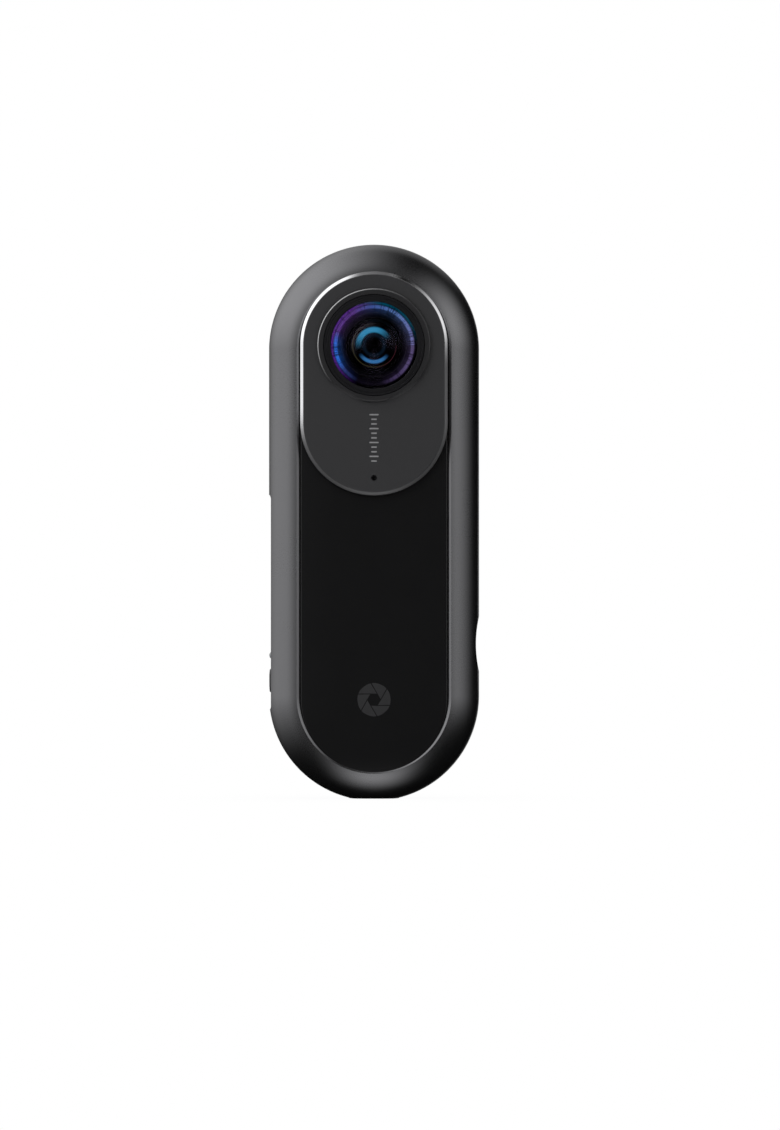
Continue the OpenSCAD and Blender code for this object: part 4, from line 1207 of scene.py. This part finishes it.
PLATE_CORNER, CARD_CORNER, CARD_PLAY_Y, CARD_PLAY_Z = 1.5, 0.2, 0.3, 0.4
outline = rounded_outline(plate_hi.y - plate_lo.y, plate_hi.z - plate_lo.z, PLATE_CORNER)
card_slot = rounded_outline(
    card_hi.y - card_lo.y + CARD_PLAY_Y, card_hi.z - card_lo.z + CARD_PLAY_Z, CARD_CORNER
)
plate_z = (plate_lo.z + plate_hi.z) / 2
side_plate = bar("left_side_plate", outline, plate_lo.x, plate_hi.x, ALONG_X, (0, 0, plate_z), "side_plate")
openings = [
    plate_opening(oval(button_w + 2 * PLAY, button_len + 2 * PLAY), button_z),
    plate_opening(disc(LAMP_R + PLAY / 2, 40), lamp_z),
    plate_opening(card_slot, card_z, card_y),
    plate_opening(oval(usb_w + 2 * PLAY, usb_len + 2 * PLAY), usb_z),
]
combine(side_plate, openings)
softened(side_plate, 0.12, 2, sharp=50.0, angle=20.0, clamp=False)
carry(side_plate, "camera", "side_plate", "side_plate")



def long_sweep(profile, centre, width, length, steps):
    """Carries a profile round an oval, for a piece that points left or down."""
    half_run = (length - width) / 2
    return sweep(profile, REAR, centre - half_run, centre + half_run, steps)


def button_profile():
    """Half the section of the button: a flange under the plate and a slightly domed cap."""
    base, top, half = -button_hi.x, -button_lo.x, button_w / 2
    crown, dome, seat = 0.3, 0.06, -button_hi.x + FLANGE
    foot = [(0.0, base), (half + FLANGE, base), (half + FLANGE, seat), (half, seat)]
    return foot + arc((half - crown, top - crown - dome), crown, 0, 80, 6) + [(0.0, top)]


def lamp_profile():
    """Half the section of the lamp: a light pipe with a flange and a round nose."""
    base, top, seat, wide = -lamp_hi.x, -lamp_lo.x, -plate_hi.x - 0.05, LAMP_R + FLANGE
    stem = [(0.0, base), (LAMP_R, base), (LAMP_R, seat - FLANGE)]
    flange = [(wide, seat - FLANGE), (wide, seat), (LAMP_R, seat)]
    return stem + flange + arc((0, top - LAMP_R), LAMP_R, 0, 90, 10)


cap_mesh = long_sweep(button_profile(), button_z, button_w, button_len, 32)
button = piece("shutter_cap", moved(cap_mesh, TO_LEFT), "button")
carry(button, "button", "button", "shutter_button")
lamp = piece("lamp_lens", moved(turned(lamp_profile(), REAR, lamp_z, 48), TO_LEFT), "lamp")
carry(lamp, "camera", "lamp", "status_lamp")
print(f"button {button_w:.1f} by {button_len:.1f} mm, lamp radius {LAMP_R} mm")

# %% [markdown]
# The charging socket is a drawn steel shell with a tongue in it, and the tongue carries two rows of
# gold contacts. The plug on the other side has the same rows on the walls of its slit. One tree makes
# all of them: a line of slabs, doubled by a second line that faces the other way.

# %% Charging socket and contacts
STRIP_ROUND = 0.3
USB_COUNT, USB_PITCH, USB_WIDTH = 12, 0.5, 0.26
ALONG_TONGUE = (0, math.radians(90), 0)
AS_DRAWN = (0, 0, 0)


def contact_rows(graph, given):
    """Two rows of contacts, one on each face of a tongue or slit, then turned and placed."""
    rows = []
    half_run = (given["Count"] - 1) * given["Pitch"] * -0.5
    step = graph.add("ShaderNodeCombineXYZ", inputs={0: given["Pitch"]})
    strip_round = given["Width"] * STRIP_ROUND
    strip = slab(graph, given["Width"], given["Length"], strip_round, given["Thickness"])
    for face in (1, -1):
        start = graph.add("ShaderNodeCombineXYZ", inputs={0: half_run, 1: given["Apart"] * face})
        points = point_row(graph, given["Count"], start, step)
        rows.append(placed(graph, points, strip, (math.radians(-90 * face), 0, 0)))
    both = graph.add("GeometryNodeJoinGeometry", inputs={0: rows})
    place = {"Geometry": both, "Translation": given["Middle"], "Rotation": given["Turn"]}
    return graph.add("GeometryNodeTransform", inputs=place)


def contacts(name, count, pitch, width, length, apart, middle, turn, thickness=0.03):
    """Gold contacts; apart is from the middle plane to the faces they stand on, all in millimetres."""
    values = {
        "Count": (WHOLE, count),
        "Pitch": (FLOAT, pitch * MM),
        "Width": (FLOAT, width * MM),
        "Length": (FLOAT, length * MM),
        "Apart": (FLOAT, apart * MM),
        "Thickness": (FLOAT, thickness * MM),
        "Middle": (VECTOR, tuple(part * MM for part in middle)),
        "Turn": (VECTOR, turn),
    }
    return by_rule(name, "gold", values, contact_rows)


def socket_profile():
    """Half the section of the drawn shell: a wall with a round lip, and a floor."""
    mouth, back, wall, radius = -usb_lo.x, -usb_hi.x, 0.3, usb_w / 2
    lip = arc((radius - wall / 2, mouth - wall / 2), wall / 2, 0, 180, 8)
    return [(radius, back)] + lip + [(radius - wall, back + wall), (0.0, back + wall), (0.0, back)]


shell_mesh = long_sweep(socket_profile(), usb_z, usb_w, usb_len, 40)
shell = piece("socket_shell", moved(shell_mesh, TO_LEFT), "polished_steel")
carry(shell, "camera", SLOT_OF["usb_socket"], "usb_socket")

tongue_lo, tongue_hi = box_mm("usb_tongue")
TONGUE_CORNER, CONTACTS_IN, CONTACTS_LONG = 0.12, 2.4, 3.6
outline = rounded_outline(tongue_hi.y - tongue_lo.y, tongue_hi.z - tongue_lo.z, TONGUE_CORNER, 3)
tongue = bar("socket_tongue", outline, tongue_lo.x, tongue_hi.x, ALONG_X, (0, 0, usb_z), "inner_plastic")
softened(tongue, 0.1, 2, sharp=60.0)
carry(tongue, "camera", SLOT_OF["usb_tongue"], "usb_tongue")
middle = (tongue_lo.x + CONTACTS_IN, 0, usb_z)
socket_contacts = contacts(
    "socket_contacts", USB_COUNT, USB_PITCH, USB_WIDTH, CONTACTS_LONG, tongue_hi.y, middle, ALONG_TONGUE
)
carry(socket_contacts, "camera", "gold")
print("socket contacts:", len(socket_contacts.data.polygons), "faces")

# %% [markdown]
# The phone plug swings on a pin. Its arm is a flat moulding, round at the pivot, that holds the metal
# shell of the plug in a groove. The plastic goes on inside the shell, with a slit for the phone's
# tongue. The thumb dish crosses the arm as well, because it is cut when the plug is folded.

# %% Phone plug
arm_lo, arm_hi = box_mm("plug_arm")
shell_lo, shell_hi = box_mm("plug_shell")
pin_lo, pin_hi = box_mm("plug_pin")
pivot_x, pivot_z = (pin_lo.x + pin_hi.x) / 2, (pin_lo.z + pin_hi.z) / 2
pin_r, arm_r = (pin_hi.x - pin_lo.x) / 2, arm_hi.z - pivot_z
plug_w, plug_t = shell_hi.x - shell_lo.x, shell_hi.y - shell_lo.y
SHELL_HELD = 1.18
tip_z, arm_base_z = shell_lo.z, shell_hi.z - SHELL_HELD
at_pivot, at_plug = (pivot_x, 0, pivot_z), (pivot_x, 0, 0)


def plug_oval(inset):
    """The plug's outline across its length, drawn in by inset, the long way along x."""
    return [(y, -x) for x, y in oval(plug_t - 2 * inset, plug_w - 2 * inset)]


def plastic_core():
    """The plastic inside the shell, with the slit that the phone's tongue enters."""
    gap, recess, into_arm = 0.32, 0.4, 0.2
    slit_w, slit_t, slit_corner = 6.7, 0.7, 0.1
    low, high = tip_z + recess, shell_hi.z + into_arm
    core = bar("core", plug_oval(gap), low, high, ALONG_Z, at_plug, "plug_plastic")
    slit = rounded_outline(slit_w, slit_t, slit_corner, 3)
    return combine(core, [cutter(slit, tip_z - BEYOND, arm_base_z - BEYOND, ALONG_Z, at_plug)])


def swing_arm():
    """The arm: round at the pivot, grooved for the shell, dished for the thumb, joined to the core."""
    groove_play, pin_play, foot = 0.02, 0.05, arm_base_z - pivot_z
    outline = [(-arm_r, foot), (arm_r, foot)] + arc((0, 0), arm_r, 0, 180, 40)
    arm = bar("plug_swing_arm", outline, arm_lo.y, arm_hi.y, ALONG_Y, at_pivot, "plug_plastic")
    softened(arm, 0.3, 3, sharp=50.0)
    groove_top = shell_hi.z + groove_play
    groove = cutter(plug_oval(-groove_play), arm_base_z - BEYOND, groove_top, ALONG_Z, at_plug)
    pin_hole = cutter(disc(pin_r + pin_play, 32), -SIDE_R, SIDE_R, ALONG_Y, at_pivot)
    combine(arm, [groove, thumb_dish(), pin_hole])
    return combine(arm, [plastic_core()], "UNION")


def plug_shell_profile():
    """Half the section of the open steel shell, with a round nose."""
    wall, radius = 0.3, plug_t / 2
    nose = arc((radius - wall / 2, tip_z + wall / 2), wall / 2, 0, -180, 8)
    return [(radius, shell_hi.z)] + nose + [(radius - wall, shell_hi.z)]


def pin_profile():
    """Half the section of the pin, chamfered at both ends."""
    low, high, inner = pin_lo.y, pin_hi.y, pin_r - PIN_CHAMFER
    lower = [(0.0, low), (inner, low), (pin_r, low + PIN_CHAMFER)]
    return lower + [(pin_r, high - PIN_CHAMFER), (inner, high), (0.0, high)]


PIN_CHAMFER = 0.12
PLUG_CONTACT_W, SLIT_HALF, PLUG_CONTACT_T = 0.25, 0.26, 0.08
carry(swing_arm(), "plug", "plug_plastic", "plug_arm")
shell_mesh = moved(long_sweep(plug_shell_profile(), pivot_x, plug_t, plug_w, 40), ALONG_X)
carry(piece("plug_metal_shell", shell_mesh, "polished_steel"), "plug", "polished_steel", "plug_shell")

contact_lo, contact_hi = box_mm("plug_contacts")
middle = (pivot_x, 0, (contact_lo.z + contact_hi.z) / 2)
length = contact_hi.z - contact_lo.z
plug_rows = contacts(
    "plug_contact_rows",
    USB_COUNT,
    USB_PITCH,
    PLUG_CONTACT_W,
    length,
    SLIT_HALF,
    middle,
    AS_DRAWN,
    PLUG_CONTACT_T,
)
carry(plug_rows, "plug", "gold", "plug_contacts")
pin_mesh = moved(turned(pin_profile(), REAR, pivot_z, 32), Matrix.Translation(at_plug))
carry(piece("pivot_pin", pin_mesh, "polished_steel"), "camera", "polished_steel", "plug_pin")
print(f"plug {plug_w:.2f} by {plug_t:.2f} mm on an arm of radius {arm_r:.1f} mm")

# %% [markdown]
# The tripod bush is turned from brass. Its thread is a real helix: a ridge that follows a spiral
# curve, at twenty turns to the inch, and stands in from the bore. A line that climbs as it
# turns is a rule with four numbers, so Geometry Nodes draw it, and it joins the turned body.

# %% Tripod bush
THREAD_MINOR, THREAD_MAJOR, THREAD_PITCH, THREAD_DEPTH = 2.55, 3.15, 1.27, 6.0
THREAD_START, RIDGE = 0.75, 0.42


def bush_profile():
    """Half the section of the bush: a bore with a lead-in, a flange and a slimmer body."""
    radius, top = box_mm("tripod_bush")[1].x, box_mm("tripod_bush")[1].z
    lead_in, chamfer, flange_t, body_r = 0.35, 0.1, 1.2, radius - 0.3
    bore = [(0.0, THREAD_DEPTH), (THREAD_MAJOR, THREAD_DEPTH), (THREAD_MAJOR, lead_in)]
    mouth = [(THREAD_MAJOR + lead_in, 0.0), (radius - chamfer, 0.0), (radius, chamfer)]
    return bore + mouth + [(radius, flange_t), (body_r, flange_t), (body_r, top), (0.0, top)]


UP = Matrix.Rotation(math.radians(90), 4, "X")
bush = piece("bush_body", moved(turned(bush_profile(), REAR, 0, 96), UP), "brass")


def helix(graph, given):
    """A ridge along a climbing spiral."""
    radii = {"Start Radius": given["Radius"], "End Radius": given["Radius"]}
    climbing = {"Resolution": 64, "Rotations": given["Turns"], **radii, "Height": given["Height"]}
    path = graph.add("GeometryNodeCurveSpiral", inputs=climbing)
    section = {"Resolution": 6, "Radius": given["Ridge"]}
    ridge = graph.add("GeometryNodeCurvePrimitiveCircle", {"mode": "RADIUS"}, section)
    swept = {"Curve": path, "Profile Curve": ridge, "Fill Caps": True}
    coil = graph.add("GeometryNodeCurveToMesh", inputs=swept)
    start = graph.add("ShaderNodeCombineXYZ", inputs={2: given["Start"]})
    return graph.add("GeometryNodeTransform", inputs={"Geometry": coil, "Translation": start})


climb = THREAD_DEPTH - THREAD_START - RIDGE
thread = by_rule(
    "thread",
    "brass",
    {
        "Turns": (FLOAT, climb / THREAD_PITCH),
        "Radius": (FLOAT, (THREAD_MINOR + RIDGE) * MM),
        "Height": (FLOAT, climb * MM),
        "Ridge": (FLOAT, RIDGE * MM),
        "Start": (FLOAT, THREAD_START * MM),
    },
    helix,
)
with bpy.context.temp_override(active_object=bush, selected_editable_objects=[bush, thread]):
    bpy.ops.object.join()
carry(bush, "camera", "brass", "tripod_bush")
print(f"thread: {climb / THREAD_PITCH:.1f} turns, {len(bush.data.polygons)} faces")

# %% [markdown]
# The memory card is a thin moulding with a slanted corner, a side notch and a raised lip for a finger
# nail, and a row of gold contacts on one face. It rides on its own body, so the contacts ride
# with it.

# %% Memory card
CARD_T, LIP_W, LIP_MARGIN, LIP_CORNER, SLANT, NOTCH = 0.75, 1.2, 0.4, 0.3, 1.4, 0.8
CARD_COUNT, CARD_PITCH, CARD_CONTACT_W, CARD_CONTACT_LONG, CARD_CONTACT_IN = 8, 1.1, 0.8, 3.0, 2.6
FOIL = 0.02
card_middle_y = card_lo.y + CARD_T / 2


def card_outline():
    """The card from its side, with the notch below and the slanted corner above."""
    left, right, low, high = card_lo.x, card_hi.x, card_lo.z, card_hi.z
    notch_x = right - (right - left) / 2
    notch = [(notch_x - NOTCH, low), (notch_x, low + NOTCH), (notch_x + NOTCH, low)]
    slant = [(right, high - SLANT), (right - SLANT, high)]
    return [(left, low)] + notch + [(right, low)] + slant + [(left, high)]


card = bar("memory_card_body", card_outline(), card_lo.y, card_lo.y + CARD_T, ALONG_Y, look="card")
nail_outline = rounded_outline(LIP_W, card_hi.z - card_lo.z - LIP_MARGIN, LIP_CORNER)
at_lip = (card_lo.x + LIP_W / 2, 0, card_z)
combine(card, [bar("lip", nail_outline, card_middle_y, card_hi.y, ALONG_Y, at_lip, "card")], "UNION")
softened(card, 0.08, 2, sharp=40.0)
carry(card, "card", "card", "memory_card")
card_rows = contacts(
    "card_contacts",
    CARD_COUNT,
    CARD_PITCH,
    CARD_CONTACT_W,
    CARD_CONTACT_LONG,
    CARD_T / 2,
    (card_hi.x - CARD_CONTACT_IN, card_middle_y, card_z),
    ALONG_TONGUE,
    FOIL,
)
carry(card_rows, "card", "gold")
print("card", len(card.data.polygons), "faces, contacts", len(card_rows.data.polygons))

# %% [markdown]
# What lies inside keeps its imported shape, since machined and moulded inner parts are as plain as
# that. Each takes the finish of its slot from the record, so nothing keeps a default material. Some
# of them show through the openings, or when the band is hidden.

# %% Finishes for the imported pieces that stay
kept = 0
for name, node in NODES.items():
    if node.hide_render:
        continue
    look = "lens_black" if name.endswith(("_lens_barrel", "_lens_spacer")) else SLOT_OF[name]
    node.data.materials.clear()
    node.data.materials.append(LOOKS[look].material)
    kept += 1
print(f"{kept} packed pieces keep their shape")

# %% [markdown]
# The studio is one sky of soft panels, which shows in reflections only. Painting the panels on the sky
# by direction gives clean falloff without noise, and the black between them keeps the graphite
# deep. A direction is given as a clock angle round the line from the camera to the object, in
# degrees anticlockwise from the right, and an angle away from that line: 0 is at the camera, 90
# is level with the object, and 180 is behind it. The big panel is at the upper left, a smaller one
# at the right front, and a low one lights the foot.

# %% Studio sky
COOL, WHITE = 1.01, (1.0, 1.0, 1.0)


def build_sky(panels, base, backdrop):
    """A world that shows a plain backdrop, and lights with soft panels of one level each."""
    world = bpy.data.worlds.new("studio")
    bpy.context.scene.world = world
    world.use_nodes = True
    graph = Graph(world.node_tree)
    x, y, z = graph.axes(graph.add("ShaderNodeTexCoord"))
    clock = z.math("ARCTAN2", x) * math.degrees(1)
    away = (y * -1).math("ARCCOSINE") * math.degrees(1)
    light = base
    for turn, half, soft, (rise_from, rise_to), (fall_from, fall_to), level in panels:
        apart_by = (clock - turn).math("WRAP", 180.0, -180.0).abs()
        ring = away.fade(rise_from, rise_to) * away.fade(fall_to, fall_from)
        light = apart_by.fade(half + soft, half) * ring * level + light
    shade = graph.add("ShaderNodeCombineXYZ", inputs={0: light, 1: light, 2: light * COOL})
    lamps = graph.add("ShaderNodeBackground", inputs={"Color": shade, "Strength": 1.0})
    plain = graph.add("ShaderNodeBackground", inputs={"Color": (*backdrop, 1.0), "Strength": 1.0})
    seen = graph.add("ShaderNodeLightPath")
    both = graph.add("ShaderNodeMixShader", inputs={0: seen, 1: lamps, 2: plain})
    graph.add("ShaderNodeOutputWorld", inputs={0: both})
    return world


PANELS = [
    # clock, half width, soft edge, rises over, falls over, level
    (143, 12, 64, (5, 62), (100, 178), 1.3),
    (20, 4, 40, (12, 34), (38, 116), 1.15),
    (270, 4, 30, (10, 28), (30, 95), 1.3),
    (80, 20, 30, (105, 130), (150, 175), 0.25),
    (20, 60, 60, (150, 172), (176, 180), 0.5),
]
SKY_BASE = 0.005
build_sky(PANELS, SKY_BASE, WHITE)
print(f"{len(PANELS)} soft panels")

# %% Floor and camera


SHADE_GREY, SHADE_REACH = (0.965, 0.965, 0.97), 0.03


def pale_floor(half=3.0):
    """A plain white floor, with a slight painted shadow where the object stands."""
    bm = bmesh.new()
    bmesh.ops.create_grid(bm, x_segments=2, y_segments=2, size=half)
    mesh = bpy.data.meshes.new("floor")
    bm.to_mesh(mesh)
    bm.free()
    floor = bpy.data.objects.new("floor", mesh)
    bpy.context.scene.collection.objects.link(floor)
    material = bpy.data.materials.new("pale_floor")
    material.use_nodes = True
    graph = Graph(material.node_tree)
    # Painted shadow: the floor's light is dimmed by occlusion near the object.
    painted_contact_shadow = graph.add("ShaderNodeAmbientOcclusion", {"samples": 8}, {"Distance": SHADE_REACH}, output=1)
    tone = graph.mix(painted_contact_shadow, SHADE_GREY, WHITE)
    lit = graph.add("ShaderNodeEmission", inputs={"Color": tone, "Strength": 1.0})
    graph.add("ShaderNodeOutputMaterial", inputs={0: lit})
    mesh.materials.append(material)
    floor.visible_glossy = False
    floor.visible_diffuse = False
    floor.visible_transmission = False
    return floor


pale_floor()
camera = bpy.data.objects.new("camera", bpy.data.cameras.new("camera"))
bpy.context.scene.collection.objects.link(camera)
DISTANCE, VIEW_HEIGHT, SENSOR = 1.5, 0.1962, 36.0
AIM_X, AIM_Z = 0.00276, 0.04046
camera.data.sensor_width = SENSOR
camera.data.lens = SENSOR * DISTANCE / VIEW_HEIGHT
camera.data.clip_start, camera.data.clip_end = 0.05, 20.0
camera.location = (AIM_X, -DISTANCE, AIM_Z)
camera.rotation_euler = (math.radians(90), 0, 0)
bpy.context.scene.camera = camera
bpy.context.scene.view_settings.view_transform = "Standard"
print(f"camera {DISTANCE} m away, lens {camera.data.lens:.0f} mm")
